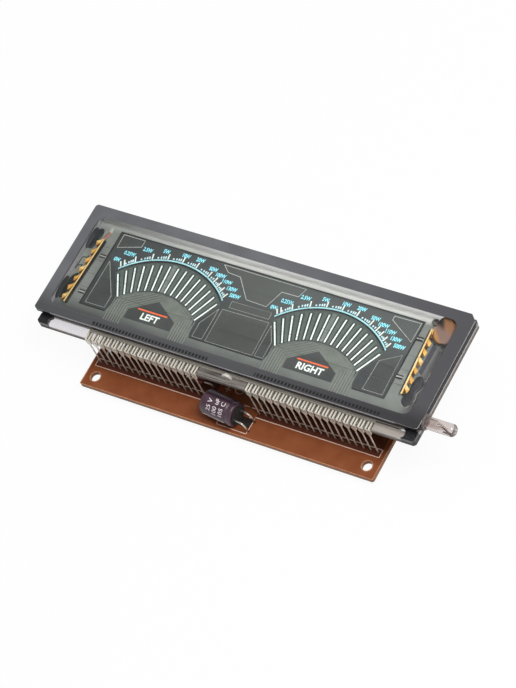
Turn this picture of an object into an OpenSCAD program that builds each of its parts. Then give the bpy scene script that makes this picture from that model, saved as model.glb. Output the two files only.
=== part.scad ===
// Twin-scale vacuum fluorescent level meter on its driver board.
// A flat glass vacuum tube, clipped along its front edge by a row of fork leads,
// stands above a brown phenolic board that carries its supply and driver parts.
// Millimetres, +Z out of the display face. X runs along the display, Y towards the
// top of its scales. The origin is the centre of the four board holes, on the underside.

/* [Board] */
// Length of the board
board_len = 110; // [106:0.5:130]
// Depth of the board, front edge to back edge
board_wid = 46; // [42:0.5:60]
// Thickness of the board
board_thick = 1.6; // [1:0.1:2.4]
// Corner radius of the board
board_corner = 0.8; // [0.3:0.1:2]
// Diameter of the four fixing holes
hole_d = 3.4; // [2.5:0.1:4.5]
// Fixing hole centre to the board's edges
hole_inset = 4; // [3:0.1:5]

/* [Glass plates] */
// Length of the cover glass
cover_len = 142.5; // [138:0.5:160]
// Width of the cover glass
cover_wid = 42.4; // [40:0.2:50]
// Thickness of the cover glass
cover_thick = 1.8; // [1.1:0.1:2.5]
// Corner cut of both glass plates
corner_cut = 0.7; // [0.3:0.1:1.2]
// Larger cut at the rear right corner of the cover
cover_cut = 1.9; // [0.7:0.1:2.4]
// Thickness of the rear glass
rear_thick = 1.7; // [1.1:0.1:2.5]
// Ledge of the rear glass in front of the cover, where the leads clip on
ledge = 3.2; // [3:0.1:5]
// Rear glass set back from the cover at the left end
rear_left_back = 1.9; // [0.2:0.1:3]
// Rear glass set back from the cover at the right end and the back
rear_back = 0.3; // [0.1:0.1:1.5]
// Clear gap from the board to the rear glass
glass_gap = 11.9; // [11:0.1:16]
// Middle of the glass to the right of the middle of the board
glass_shift = -2.4; // [-4:0.1:2]

/* [Glass walls and seals] */
// Height of the glass side walls
wall_height = 1.9; // [1.7:0.1:3]
// Thickness of the glass side walls
wall_thick = 1; // [0.8:0.1:1.6]
// Side walls set in from the edge of the plates
wall_inset = 0.3; // [0.1:0.1:0.8]
// Thickness of each frit seal layer
frit_thick = 0.15; // [0.1:0.01:0.3]
// Length of the black end pads on the ledge
pad_len = 4.6; // [3:0.1:6]
// Height of the black end pads
pad_height = 1.3; // [0.6:0.1:1.8]
// Radius of the hollow in the inner face of the end pads
pad_hollow = 1.7; // [1.2:0.1:1.9]
// Radius of the frit bead in the middle of the ledge
bead_r = 1.9; // [1:0.1:2.2]
// Bead to the right of the middle of the glass
bead_shift = 2.6; // [0:0.1:5]

/* [Printed mask] */
// Width of the mask at the left end
mask_left = 3.75; // [3:0.05:6]
// Width of the mask at the right end
mask_right = 4.45; // [3:0.05:6]
// Width of the mask along the front
mask_front = 3.3; // [2.5:0.05:5]
// Width of the mask along the back
mask_rear = 3.7; // [2.5:0.05:5]
// Corner radius of the window
mask_corner = 3; // [1:0.1:4]
// Thickness of the printed mask
mask_thick = 0.08; // [0.05:0.01:0.15]

/* [Exhaust tube] */
// Outer diameter of the exhaust tube
tube_d = 4.1; // [3:0.1:4.3]
// Bore of the exhaust tube
tube_bore = 2.5; // [1.5:0.1:2.6]
// Length of the tube outside the cover glass
tube_out = 10.5; // [6:0.1:16]
// Solid length at the melted tip
tube_solid = 2.2; // [1.5:0.1:4]
// Length over which the bore closes
tube_close = 4; // [2:0.1:6]
// Radius of the melted edge at the tip
tube_round = 1.3; // [0.5:0.1:1.4]
// Tube axis in front of the middle of the glass
tube_front = 16.8; // [8:0.1:17.2]
// Thickness of the frit sleeve round the tube
sleeve_thick = 0.5; // [0.3:0.05:0.6]
// Length of the frit sleeve outside the glass
sleeve_out = 0.5; // [0.2:0.1:1.5]

/* [Fork leads] */
// Spacing of the leads
lead_pitch = 2.54; // [2.5:0.01:2.58]
// Leads in the left bank
left_leads = 17; // [10:1:17]
// Leads in the right bank
right_leads = 18; // [10:1:18]
// Empty places between the banks
empty_places = 7; // [7:1:9]
// Lead row behind the front edge of the board
lead_row = 9.5; // [8.8:0.1:11]
// Thickness of the lead metal
lead_thick = 0.25; // [0.15:0.01:0.3]
// Width of each of the two tines on the ledge
tine_w = 0.42; // [0.3:0.01:0.6]
// Spacing of the two tines
tine_apart = 1.1; // [0.8:0.05:1.3]
// Length of the tines on the ledge
tine_len = 2.7; // [1.5:0.1:2.9]
// Width of the web over the edge of the glass
web_w = 2.1; // [1.8:0.05:2.3]
// Web below the underside of the rear glass
web_drop = 0.6; // [0.4:0.1:1.5]
// Height of the shoulder where the web narrows to the wire
shoulder = 1.3; // [0.6:0.1:2.5]
// Width of the lead below the shoulder
wire_w = 0.55; // [0.35:0.05:0.7]
// Width of the tongue that grips under the glass
tongue_w = 0.8; // [0.5:0.1:1.2]
// Length of the tongue that grips under the glass
tongue_len = 2; // [1:0.1:3]
// Lead tips and socket pins below the board
tip_out = 1.6; // [1.4:0.1:2.4]
// Diameter of the holes for the leads
lead_hole = 0.9; // [0.8:0.05:1.2]
// Height of the solder cones
solder_h = 1.1; // [0.6:0.1:1.3]
// Radius of the solder cones at the board
solder_r = 0.95; // [0.7:0.05:1.1]
// Solder round the lead at the tip of a cone
solder_tip = 0.15; // [0.1:0.01:0.3]

/* [Display pattern] */
// Left end of the cover to the dark panel that carries both scales
panel_left_in = 12; // [11:0.1:16]
// Right end of the cover to the dark panel
panel_right_in = 16.2; // [14:0.1:18]
// Front of the cover to the dark panel
panel_front_in = 7.6; // [5:0.1:8]
// Back of the cover to the dark panel
panel_rear_in = 5.5; // [4.5:0.1:7]
// Thickness of one printed layer
print_thick = 0.06; // [0.04:0.01:0.1]
// Left end of the dark panel to the middle of the left meter
left_meter_in = 26.5; // [22:0.1:29]
// Right end of the dark panel to the middle of the right meter
right_meter_in = 27.8; // [22:0.1:29]
// Bars in each meter
bar_count = 15; // [9:2:19]
// Width of a bar
bar_w = 0.52; // [0.3:0.02:0.9]
// Fan centre in front of the front edge of the panel
fan_drop = 20.2; // [19:0.1:21]
// Half angle of the fan of bars
fan_half = 29.2; // [24:0.1:30]
// Inner end of the middle bar from the fan centre
bar_in = 32.6; // [31:0.1:34]
// Outer end of the middle bar from the fan centre
bar_out = 42.5; // [38:0.1:43]
// Fall of the scale's ends below a true circle
fan_flat = 3.2; // [0:0.1:4]
// Fall of the bars' inner ends below a true circle
inner_flat = 2.2; // [0:0.1:4]
// Gap from the bars to the scale arc
arc_gap = 1.9; // [0.6:0.1:2.4]
// Width of the scale arc
arc_w = 0.5; // [0.3:0.05:0.8]
// Gap from the scale arc to the main scale marks
mark_gap = 0.2; // [0.1:0.05:0.4]
// Length of a main scale mark
mark_len = 1.6; // [0.8:0.1:2]
// Width of a main scale mark
mark_w = 0.34; // [0.2:0.02:0.5]
// Gap from the bars down to the wiring field
field_gap = 0.6; // [0.3:0.1:1]
// Half width of the wiring field at the front edge
field_half = 16.2; // [15:0.1:17]
// Width of the blank shield under each fan
shield_w = 17.8; // [12:0.1:20]
// Height of the blank shield at its sides
shield_side = 3.4; // [2:0.1:4.5]
// Height of the blank shield at its point
shield_h = 8.9; // [6:0.1:9.5]

/* [Filament] */
// Length of the toothed filament supports
support_len = 25.6; // [20:0.1:28]
// Gap from the dark panel to each support
support_gap = 3.4; // [2.6:0.1:4]
// Supports set off from the middle, left forward and right back
support_skew = 2.2; // [0:0.1:3]
// Height of the supports above the rear glass
support_h = 1.3; // [0.8:0.05:1.4]
// Thickness of the support metal
support_t = 0.2; // [0.1:0.05:0.3]
// Width of the support strip without its teeth
support_w = 0.9; // [0.6:0.05:1.2]
// Length of a tooth
tooth_len = 1.3; // [0.6:0.05:1.6]
// Teeth on each support
tooth_count = 7; // [4:1:9]
// Diameter of a filament wire
filament_d = 0.1; // [0.05:0.01:0.2]
// Filament wires
filament_count = 4; // [2:1:6]
// Length of the grid tabs beside the panel
tab_len = 2.3; // [1.2:0.1:2.5]
// Width of the grid tabs
tab_w = 0.6; // [0.3:0.05:1]
// Height of the grid tabs
tab_h = 0.35; // [0.2:0.05:0.6]
// Spacing of the two grid tabs at one end
tab_apart = 14.3; // [8:0.1:18]
// Height of the conductive paste pads
paste_h = 0.4; // [0.2:0.05:0.8]
// Radius of the conductive paste pads
paste_r = 1.5; // [1:0.05:1.9]
// Length of the conductive paste pads
paste_len = 9; // [6:0.1:11]
// Right paste pad in front of the end of its support
paste_fall = 2.2; // [0:0.1:3]
// Outer radius of the getter cup
getter_r = 1.15; // [0.8:0.05:1.6]
// Height of the getter cup
getter_h = 1; // [0.5:0.05:1.4]

/* [Capacitor] */
// Diameter of the capacitor
cap_d = 8.2; // [6.3:0.1:8.5]
// Length of the capacitor
cap_len = 12.4; // [10:0.1:13]
// Middle of the capacitor to the right of the middle of the board
cap_x = -1.6; // [-2.5:0.1:-1]
// Middle of the capacitor behind the front edge of the board
cap_y = 5.6; // [5:0.1:6.5]
// Turn of the capacitor, right end forward
cap_turn = 7; // [0:0.5:9]
// Spacing of the capacitor leads
cap_lead_apart = 3.8; // [2.5:0.1:4]
// Diameter of the capacitor leads
cap_lead_d = 0.6; // [0.5:0.05:0.7]
// Bend of the leads past the end of the capacitor
cap_lead_out = 4.2; // [2.5:0.1:4.5]
// Radius of the bend in the leads
cap_bend_r = 2.4; // [1:0.1:2.4]

/* [Top side parts] */
// Length of the glass diode
diode_len = 3.9; // [3:0.1:4.5]
// Diameter of the glass diode
diode_d = 1.9; // [1.5:0.1:2.2]
// Length of a film resistor
resistor_len = 6.3; // [5:0.1:6.6]
// Diameter of a film resistor
resistor_d = 2.3; // [1.8:0.1:2.6]
// Diode to the right of the middle of the board
diode_x = -15.6; // [-18:0.1:-14]
// Diode behind the lead row
diode_back = 3.9; // [3:0.1:5]
// Left edge of the board to the first resistor across it
standing_in = 4.4; // [4:0.1:6]
// Spacing of the resistors across the board
standing_step = 5.1; // [3.5:0.1:7]
// Lead row to the front holes of the resistors across the board
standing_back = 2.6; // [2.4:0.1:6]
// Right edge of the board to the middle of the first resistor along it
lying_in = 12; // [11:0.1:13]
// Spacing of the resistors along the board
lying_step = 14; // [12.5:0.1:14.5]
// Lead row to the resistors along the board
lying_back = 15; // [14:0.1:16]
// Spacing of the holes of an axial part
axial_span = 10.2; // [9.5:0.1:12]
// Diameter of the leads of an axial part
axial_lead_d = 0.5; // [0.4:0.05:0.6]
// Axial part above the board
axial_lift = 0.3; // [0.1:0.1:1]
// Axial tips below the board
axial_tip = 1.4; // [1:0.1:1.4]
// Diameter of the holes for small part leads
part_hole = 0.9; // [0.8:0.05:1.1]
// Length of the input socket
socket_len = 14.9; // [14:0.1:18]
// Depth of the input socket
socket_wid = 5.8; // [5:0.1:6.2]
// Height of the input socket
socket_h = 7; // [5:0.1:8]
// Wall of the input socket
socket_wall = 0.9; // [0.6:0.05:1.2]
// Pins in the input socket
socket_pins = 5; // [3:1:5]
// Spacing of the socket pins
socket_pitch = 2.5; // [2:0.01:2.54]
// Width of the square socket pins
pin_w = 0.64; // [0.5:0.02:0.7]
// Socket centre in front of the back edge of the board
socket_back = 4; // [3.4:0.1:6]

/* [Underside parts] */
// Side of the driver chip
driver_w = 10; // [9.5:0.1:12]
// Pins on each side of the driver chip
driver_pins = 11; // [8:1:11]
// Pin spacing of the driver chip
driver_pitch = 0.8; // [0.65:0.01:0.8]
// Length of the controller chip
controller_len = 12.8; // [12.7:0.1:14]
// Width of the controller chip
controller_w = 7.5; // [5:0.1:7.6]
// Pins on each side of the controller chip
controller_pins = 10; // [8:1:10]
// Pin spacing of the controller chip
controller_pitch = 1.27; // [1.2:0.01:1.27]
// Thickness of both chip bodies
chip_thick = 1.1; // [0.9:0.05:1.1]
// Chip body off the board
chip_lift = 0.12; // [0.05:0.01:0.2]
// Reach of a chip pin from the body
pin_reach = 1.1; // [0.8:0.05:1.3]
// Thickness of a chip pin
chip_pin_t = 0.15; // [0.1:0.01:0.2]
// Spacing of the two chips
chip_apart = 30; // [28:0.5:36]
// Chips behind the middle of the board
chip_back = 4; // [0:0.1:6]
// Edge of the board to the first chip resistors
smd_in = 17; // [14:0.1:19]
// Spacing of the chip resistors
smd_step = 5; // [3:0.1:6]
// Length of a chip resistor
smd_len = 2; // [1.6:0.1:2.2]
// Width of a chip resistor
smd_w = 1.25; // [0.8:0.05:1.4]
// Thickness of a chip resistor
smd_h = 0.55; // [0.3:0.05:0.8]
// Plated end of a chip resistor
smd_end = 0.4; // [0.2:0.05:0.6]

/* [Hidden] */
$fn = 48;

// Clearance between pieces that only touch
clear = 0.02;
// Extra reach of a cutting solid
over = 1;

// Heights, from the underside of the board up
board_top = board_thick;
rear_z = board_top + glass_gap;
rear_top = rear_z + rear_thick;
wall_z = rear_top + frit_thick;
wall_top = wall_z + wall_height;
cover_z = wall_top + frit_thick;
cover_top = cover_z + cover_thick;

// Plan places of the glass
lead_y = -board_wid / 2 + lead_row;
rear_front = lead_y + lead_thick / 2 + clear;
cover_front = rear_front + ledge;
cover_mid = cover_front + cover_wid / 2;
cover_rear = cover_front + cover_wid;
cover_left = glass_shift - cover_len / 2;
cover_right = glass_shift + cover_len / 2;
rear_left = cover_left + rear_left_back;
rear_right = cover_right - rear_back;
rear_rear = cover_rear - rear_back;
wall_left = rear_left + wall_inset;
wall_right = rear_right - wall_inset;
wall_front = cover_front + wall_inset;
wall_rear = rear_rear - wall_inset;

// Exhaust tube
tube_y = cover_mid - tube_front;
tube_z = (rear_z + cover_top) / 2;
tube_start = wall_right - wall_thick;
sleeve_d = tube_d + 2 * sleeve_thick;

// Lead places, counted from the left end of the row
lead_places = left_leads + empty_places + right_leads;
function lead_x(i) = (i - (lead_places - 1) / 2) * lead_pitch;
left_bank = [for (i = [0 : left_leads - 1]) lead_x(i)];
right_bank = [for (i = [left_leads + empty_places : lead_places - 1]) lead_x(i)];

// Display pattern
panel_left = cover_left + panel_left_in;
panel_right = cover_right - panel_right_in;
panel_front = cover_front + panel_front_in;
panel_rear = cover_rear - panel_rear_in;
base_z = rear_top;
panel_z = base_z + print_thick;
glow_z = panel_z + print_thick;
fan_y = panel_front - fan_drop;
meter_x = [panel_left + left_meter_in, panel_right - right_meter_in];
mark_angles = [-28, -21.5, -14, -7, 0, 7, 14.5, 18.5, 21.5, 24.5, 28];
function fan_r(r, angle, flat) = r - flat * pow(angle / fan_half, 2);
function fan_point(r, angle, flat) = fan_r(r, angle, flat) * [sin(angle), cos(angle)];
function sweep(count, half) = [for (i = [0 : count]) -half + 2 * half * i / count];
bar_angles = sweep(bar_count - 1, fan_half);
arc_angles = sweep(40, fan_half);
arc_in = bar_out + arc_gap;
arc_out = arc_in + arc_w;

// Filament
support_x = [panel_left - support_gap, panel_right + support_gap];
support_y = [cover_mid - support_skew, cover_mid + support_skew];
filament_z = rear_top + support_h + filament_d / 2 + clear;
filament_span = support_len - 2 * support_skew;

// Capacitor, turned about its middle
cap_mid = [cap_x, -board_wid / 2 + cap_y];
cap_axis_z = board_top + cap_d / 2;
function turned(p, angle) = [p.x * cos(angle) - p.y * sin(angle), p.x * sin(angle) + p.y * cos(angle)];
cap_feet = [for (side = [-1, 1])
    cap_mid + turned([cap_len / 2 + cap_lead_out, side * cap_lead_apart / 2], -cap_turn)];

// Axial parts: middle of the part on the board and its turn
diode_spot = [diode_x, lead_y + diode_back, 0];
standing_spots = [for (i = [0, 1]) [-board_len / 2 + standing_in + i * standing_step,
    lead_y + standing_back + axial_span / 2, 90]];
lying_spots = [for (i = [0, 1]) [board_len / 2 - lying_in - i * lying_step, lead_y + lying_back, 0]];
resistor_spots = concat(standing_spots, lying_spots);
function axial_feet(spot) = [for (side = [-1, 1])
    [spot.x, spot.y] + turned([side * axial_span / 2, 0], spot.z)];
axial_holes = [for (spot = concat([diode_spot], resistor_spots)) each axial_feet(spot)];

// Input socket at the back edge of the board
socket_y = board_wid / 2 - socket_back;
socket_x = [for (i = [0 : socket_pins - 1]) (i - (socket_pins - 1) / 2) * socket_pitch];

// Chips on the underside
driver_spot = [-chip_apart / 2, chip_back];
controller_spot = [chip_apart / 2, chip_back];
smd_spots = [for (side = [-1, 1], i = [0, 1], j = [-1, 0, 1])
    [side * (board_len / 2 - smd_in - i * smd_step), chip_back + j * smd_step]];

// Flat plate with its four corners cut off, the rear right one by its own amount
module cut_plate(left, right, front, rear, cut, last) {
    polygon([[left + cut, front], [right - cut, front], [right, front + cut], [right, rear - last],
        [right - last, rear], [left + cut, rear], [left, rear - cut], [left, front + cut]]);
}

module rear_outline() {
    cut_plate(rear_left, rear_right, rear_front, rear_rear, corner_cut, corner_cut);
}

module cover_outline() {
    cut_plate(cover_left, cover_right, cover_front, cover_rear, corner_cut, cover_cut);
}

// Rectangle with round corners, about its middle
module round_rect(len, wid, r) {
    square([len - 2 * r, wid], center = true);
    square([len, wid - 2 * r], center = true);
    for (x = [-1, 1], y = [-1, 1])
        translate([x * (len / 2 - r), y * (wid / 2 - r)]) circle(r);
}

// Round bar along X from a start to an end
module bar_x(d, from, to) {
    translate([from, 0, 0]) rotate([0, 90, 0]) cylinder(d = d, h = to - from);
}

// Cut for the tube and its sleeve through the right edge of the glass
module tube_cut() {
    translate([0, tube_y, tube_z])
        bar_x(sleeve_d + 2 * clear, tube_start - clear, cover_right + over);
}

module circuit_board() {
    color("sienna")
    difference() {
        linear_extrude(board_thick) round_rect(board_len, board_wid, board_corner);
        for (x = [-1, 1], y = [-1, 1])
            translate([x * (board_len / 2 - hole_inset), y * (board_wid / 2 - hole_inset), -over])
                cylinder(d = hole_d, h = board_thick + 2 * over);
        for (x = concat(left_bank, right_bank))
            translate([x, lead_y, -over]) cylinder(d = lead_hole, h = board_thick + 2 * over);
        for (p = concat(cap_feet, axial_holes, [for (x = socket_x) [x, socket_y]]))
            translate([p.x, p.y, -over]) cylinder(d = part_hole, h = board_thick + 2 * over);
    }
}

module rear_glass() {
    color("lightcyan")
    difference() {
        translate([0, 0, rear_z]) linear_extrude(rear_thick) rear_outline();
        tube_cut();
    }
}

module front_side_wall() {
    color("azure")
    translate([wall_left, wall_front, wall_z])
        cube([wall_right - wall_left, wall_thick, wall_height]);
}

module back_side_wall() {
    color("azure")
    translate([wall_left, wall_rear - wall_thick, wall_z])
        cube([wall_right - wall_left, wall_thick, wall_height]);
}

// End wall between the front and back walls
module end_wall(x) {
    translate([x, wall_front + wall_thick, wall_z])
        cube([wall_thick, wall_rear - wall_front - 2 * wall_thick, wall_height]);
}

module left_side_wall() {
    color("azure") end_wall(wall_left);
}

module right_side_wall() {
    color("azure")
    difference() {
        end_wall(wall_right - wall_thick);
        tube_cut();
    }
}

// Ring of frit under or over the side walls
module frit_ring(z) {
    difference() {
        translate([wall_left, wall_front, z])
            cube([wall_right - wall_left, wall_rear - wall_front, frit_thick]);
        translate([wall_left + wall_thick, wall_front + wall_thick, z - over])
            cube([wall_right - wall_left - 2 * wall_thick,
                wall_rear - wall_front - 2 * wall_thick, frit_thick + 2 * over]);
        tube_cut();
    }
}

module lower_frit_seal() {
    color("dimgray") frit_ring(rear_top);
}

module upper_frit_seal() {
    color("dimgray") frit_ring(wall_top);
}

module cover_glass() {
    color("lightcyan")
    difference() {
        translate([0, 0, cover_z]) linear_extrude(cover_thick) cover_outline();
        tube_cut();
    }
}

module mask_print() {
    color("dimgray")
    translate([0, 0, cover_top]) linear_extrude(mask_thick)
    difference() {
        cover_outline();
        translate([glass_shift + (mask_left - mask_right) / 2, cover_mid + (mask_front - mask_rear) / 2])
            round_rect(cover_len - mask_left - mask_right, cover_wid - mask_front - mask_rear,
                mask_corner);
    }
}

// Drawn glass tube, melted shut: its bore runs in from the wall and closes before the tip
module exhaust_tube() {
    color("ghostwhite")
    translate([tube_start, tube_y, tube_z]) rotate([0, 90, 0])
    rotate_extrude()
    difference() {
        union() {
            square([tube_d / 2, cover_right - tube_start + tube_out - tube_round]);
            square([tube_d / 2 - tube_round, cover_right - tube_start + tube_out]);
            translate([tube_d / 2 - tube_round, cover_right - tube_start + tube_out - tube_round])
                intersection() {
                    circle(tube_round);
                    square(tube_round);
                }
        }
        polygon([[-over, -over], [tube_bore / 2, -over],
            [tube_bore / 2, cover_right - tube_start + tube_out - tube_solid - tube_close],
            [0, cover_right - tube_start + tube_out - tube_solid], [-over, -over]]);
    }
}

module exhaust_sleeve() {
    color("gainsboro")
    translate([tube_start, tube_y, tube_z]) rotate([0, 90, 0])
    difference() {
        cylinder(d = sleeve_d, h = cover_right - tube_start + sleeve_out);
        translate([0, 0, -over])
            cylinder(d = tube_d + 2 * clear, h = cover_right - tube_start + sleeve_out + 2 * over);
    }
}

// Black resin pads that hold both ends of the ledge, hollowed towards the leads
module ledge_end_pads() {
    color("black")
    translate([0, 0, rear_top]) linear_extrude(pad_height)
    for (end = [[rear_left, 1], [rear_right, -1]])
    difference() {
        intersection() {
            rear_outline();
            translate([end[0] + (end[1] - 1) * pad_len / 2, rear_front])
                square([pad_len, ledge + wall_inset]);
        }
        translate([end[0] + end[1] * (pad_len + pad_hollow / 2), rear_front + ledge / 2])
            circle(pad_hollow);
    }
}

module ledge_bead() {
    color("lightgray")
    intersection() {
        translate([glass_shift + bead_shift, cover_front + wall_inset - bead_r, rear_top])
            sphere(bead_r);
        translate([glass_shift + bead_shift - bead_r, cover_front + wall_inset - bead_r, rear_top])
            cube([2 * bead_r, bead_r, cover_z - rear_top - clear]);
    }
}

module base_print() {
    color("darkseagreen")
    translate([wall_left + wall_thick, wall_front + wall_thick, base_z])
        cube([wall_right - wall_left - 2 * wall_thick,
            wall_rear - wall_front - 2 * wall_thick, print_thick]);
}

// Outline of one wiring field: under the fan's inner ends, then straight to the front edge
module field_outline() {
    reach = bar_in - field_gap;
    points = [for (a = arc_angles) fan_point(reach, a, inner_flat)];
    polygon(concat(points, [[field_half, fan_drop], [-field_half, fan_drop]]));
}

// Pointed shield in front of each fan, left blank
module shield_outline() {
    polygon([[-shield_w / 2, fan_drop], [shield_w / 2, fan_drop],
        [shield_w / 2, fan_drop + shield_side], [0, fan_drop + shield_h],
        [-shield_w / 2, fan_drop + shield_side]]);
}

module dark_panel() {
    color("darkslategray")
    translate([0, 0, panel_z]) linear_extrude(print_thick)
    difference() {
        translate([panel_left, panel_front])
            square([panel_right - panel_left, panel_rear - panel_front]);
        for (x = meter_x) translate([x, fan_y]) field_outline();
    }
}

module wiring_fields() {
    color("gray")
    translate([0, 0, panel_z]) linear_extrude(print_thick)
    for (x = meter_x) translate([x, fan_y])
    difference() {
        field_outline();
        shield_outline();
    }
}

module blank_shields() {
    color("darkslategray")
    translate([0, 0, panel_z]) linear_extrude(print_thick)
    for (x = meter_x) translate([x, fan_y]) shield_outline();
}

// Fan of level bars, each along its own radius
module meter_bars(x) {
    translate([x, fan_y, glow_z]) linear_extrude(print_thick)
    for (a = bar_angles) rotate(-a)
        translate([-bar_w / 2, fan_r(bar_in, a, inner_flat)])
            square([bar_w, fan_r(bar_out, a, fan_flat) - fan_r(bar_in, a, inner_flat)]);
}

module left_meter_bars() {
    color("white") meter_bars(meter_x[0]);
}

module right_meter_bars() {
    color("white") meter_bars(meter_x[1]);
}

// Scale arc over the bars with its main marks
module scale_arc(x) {
    translate([x, fan_y, glow_z]) linear_extrude(print_thick) {
        polygon(concat([for (a = arc_angles) fan_point(arc_out, a, fan_flat)],
            [for (i = [len(arc_angles) - 1 : -1 : 0]) fan_point(arc_in, arc_angles[i], fan_flat)]));
        for (a = mark_angles) rotate(-a)
            translate([-mark_w / 2, fan_r(arc_out, a, fan_flat) + mark_gap])
                square([mark_w, mark_len]);
    }
}

module left_scale() {
    color("cyan") scale_arc(meter_x[0]);
}

module right_scale() {
    color("cyan") scale_arc(meter_x[1]);
}

// Stamped support: a foot on the glass, a web, and a toothed flange that points outwards
module filament_support(x, y, out) {
    foot_z = rear_top + print_thick;
    tooth = support_len / tooth_count;
    translate([x, y - support_len / 2, 0]) {
        translate([min(0, out * support_w), 0, foot_z]) cube([support_w, support_len, support_t]);
        translate([min(0, out * support_t), 0, foot_z])
            cube([support_t, support_len, rear_top + support_h - foot_z]);
        translate([0, 0, rear_top + support_h - support_t]) linear_extrude(support_t)
            polygon(concat([[0, 0]],
                [for (i = [0 : tooth_count - 1]) each [[out * support_w, i * tooth],
                    [out * (support_w + tooth_len), (i + 0.5) * tooth]]],
                [[out * support_w, support_len], [0, support_len]]));
    }
}

module left_filament_support() {
    color("goldenrod") filament_support(support_x[0], support_y[0], -1);
}

module right_filament_support() {
    color("goldenrod") filament_support(support_x[1], support_y[1], 1);
}

module filament_wires() {
    color("slategray")
    for (i = [0 : filament_count - 1])
        translate([0, cover_mid + filament_span * ((i + 0.5) / filament_count - 0.5), filament_z])
            bar_x(filament_d, support_x[0] - support_w, support_x[1] + support_w);
}

module grid_tabs() {
    color("silver")
    for (side = [0, 1], end = [-1, 1])
        translate([side == 0 ? panel_left - tab_len - clear : panel_right + clear,
                support_y[side] + end * tab_apart / 2 - tab_w / 2, rear_top + print_thick])
            cube([tab_len, tab_w, tab_h]);
}

// Pad of paste with round ends, lying along Y
module paste_pad(x, y) {
    translate([x, y, rear_top + print_thick]) linear_extrude(paste_h) {
        square([2 * paste_r, paste_len - 2 * paste_r], center = true);
        for (end = [-1, 1]) translate([0, end * (paste_len / 2 - paste_r)]) circle(paste_r);
    }
}

module paste_pads() {
    color("darkslategray") {
        left_x = wall_left + wall_thick + paste_r + clear;
        for (end = [-1, 1]) paste_pad(left_x, support_y[0] + end * (support_len - paste_len) / 2);
        paste_pad(support_x[1] + support_w + tooth_len + paste_r + clear,
            support_y[1] - (support_len - paste_len) / 2 - paste_fall);
    }
}

module getter_cup() {
    color("dimgray")
    translate([support_x[1], support_y[1] + support_len / 2 + getter_r + clear, rear_top + print_thick])
    difference() {
        cylinder(r = getter_r, h = getter_h);
        translate([0, 0, getter_h / 3]) cylinder(r = getter_r * 0.7, h = getter_h);
    }
}

// One fork lead: two tines on the ledge, a web over the edge, a tongue below, a wire to the board
module fork_lead(x) {
    web_z = rear_z - web_drop;
    translate([x, lead_y, 0]) {
        rotate([90, 0, 0]) translate([0, 0, -lead_thick / 2]) linear_extrude(lead_thick)
            polygon([[-web_w / 2, rear_top + clear], [-web_w / 2, web_z], [-wire_w / 2, web_z - shoulder],
                [-wire_w / 2, -tip_out], [wire_w / 2, -tip_out], [wire_w / 2, web_z - shoulder],
                [web_w / 2, web_z], [web_w / 2, rear_top + clear]]);
        for (side = [-1, 1])
            translate([side * tine_apart / 2 - tine_w / 2, -lead_thick / 2, rear_top + clear])
                cube([tine_w, lead_thick + clear + tine_len, lead_thick]);
        translate([-tongue_w / 2, -lead_thick / 2, rear_z - clear - lead_thick])
            cube([tongue_w, lead_thick + clear + tongue_len, lead_thick]);
    }
}

module left_lead_bank() {
    color("silver") for (x = left_bank) fork_lead(x);
}

module right_lead_bank() {
    color("silver") for (x = right_bank) fork_lead(x);
}

// Solder cone round every lead, open where the lead passes
module lead_solder() {
    color("lightsteelblue")
    for (x = concat(left_bank, right_bank)) translate([x, lead_y, -solder_h])
    difference() {
        cylinder(r1 = wire_w / 2 + solder_tip, r2 = solder_r, h = solder_h);
        cube([wire_w + 2 * clear, lead_thick + 2 * clear, 3 * solder_h], center = true);
    }
}

// Places a child in the capacitor's own frame: axis along X, middle at the origin
module at_capacitor() {
    translate([cap_mid.x, cap_mid.y, cap_axis_z]) rotate([0, 0, -cap_turn]) children();
}

// Sleeved can with the rolled groove near its bung end
module capacitor_can() {
    groove = 0.35;
    groove_back = 2;
    lip = 0.5;
    color("purple")
    at_capacitor() rotate([0, 90, 0]) translate([0, 0, -cap_len / 2])
    rotate_extrude()
    difference() {
        square([cap_d / 2, cap_len]);
        translate([cap_d / 2 + groove, cap_len - groove_back]) circle(2 * groove);
        translate([-over, cap_len - lip]) square([cap_d / 2 - 2 * lip + over, 2 * lip]);
    }
}

module capacitor_bung() {
    lip = 0.5;
    color("black")
    at_capacitor()
    difference() {
        bar_x(cap_d - 4 * lip - 2 * clear, cap_len / 2 - lip + clear, cap_len / 2 + lip / 2);
        for (side = [-1, 1]) translate([0, side * cap_lead_apart / 2, 0])
            bar_x(cap_lead_d + 2 * clear, 0, cap_len);
    }
}

// Two leads out of the bung, bent down into the board
module capacitor_leads() {
    lip = 0.5;
    start = cap_len / 2 - lip + 2 * clear;
    bend = cap_len / 2 + cap_lead_out - cap_bend_r;
    color("gainsboro")
    at_capacitor()
    for (side = [-1, 1]) translate([0, side * cap_lead_apart / 2, 0]) {
        bar_x(cap_lead_d, start, bend);
        translate([bend, 0, -cap_bend_r]) rotate([90, 0, 0])
            rotate_extrude(angle = 90) translate([cap_bend_r, 0]) circle(d = cap_lead_d);
        translate([bend + cap_bend_r, 0, -cap_axis_z - axial_tip])
            cylinder(d = cap_lead_d, h = cap_axis_z + axial_tip - cap_bend_r);
    }
}

// Places a child on an axial part's spot: axis along X at the part's own height
module at_spot(spot, d) {
    translate([spot.x, spot.y, board_top + axial_lift + d / 2]) rotate([0, 0, spot.z]) children();
}

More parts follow.
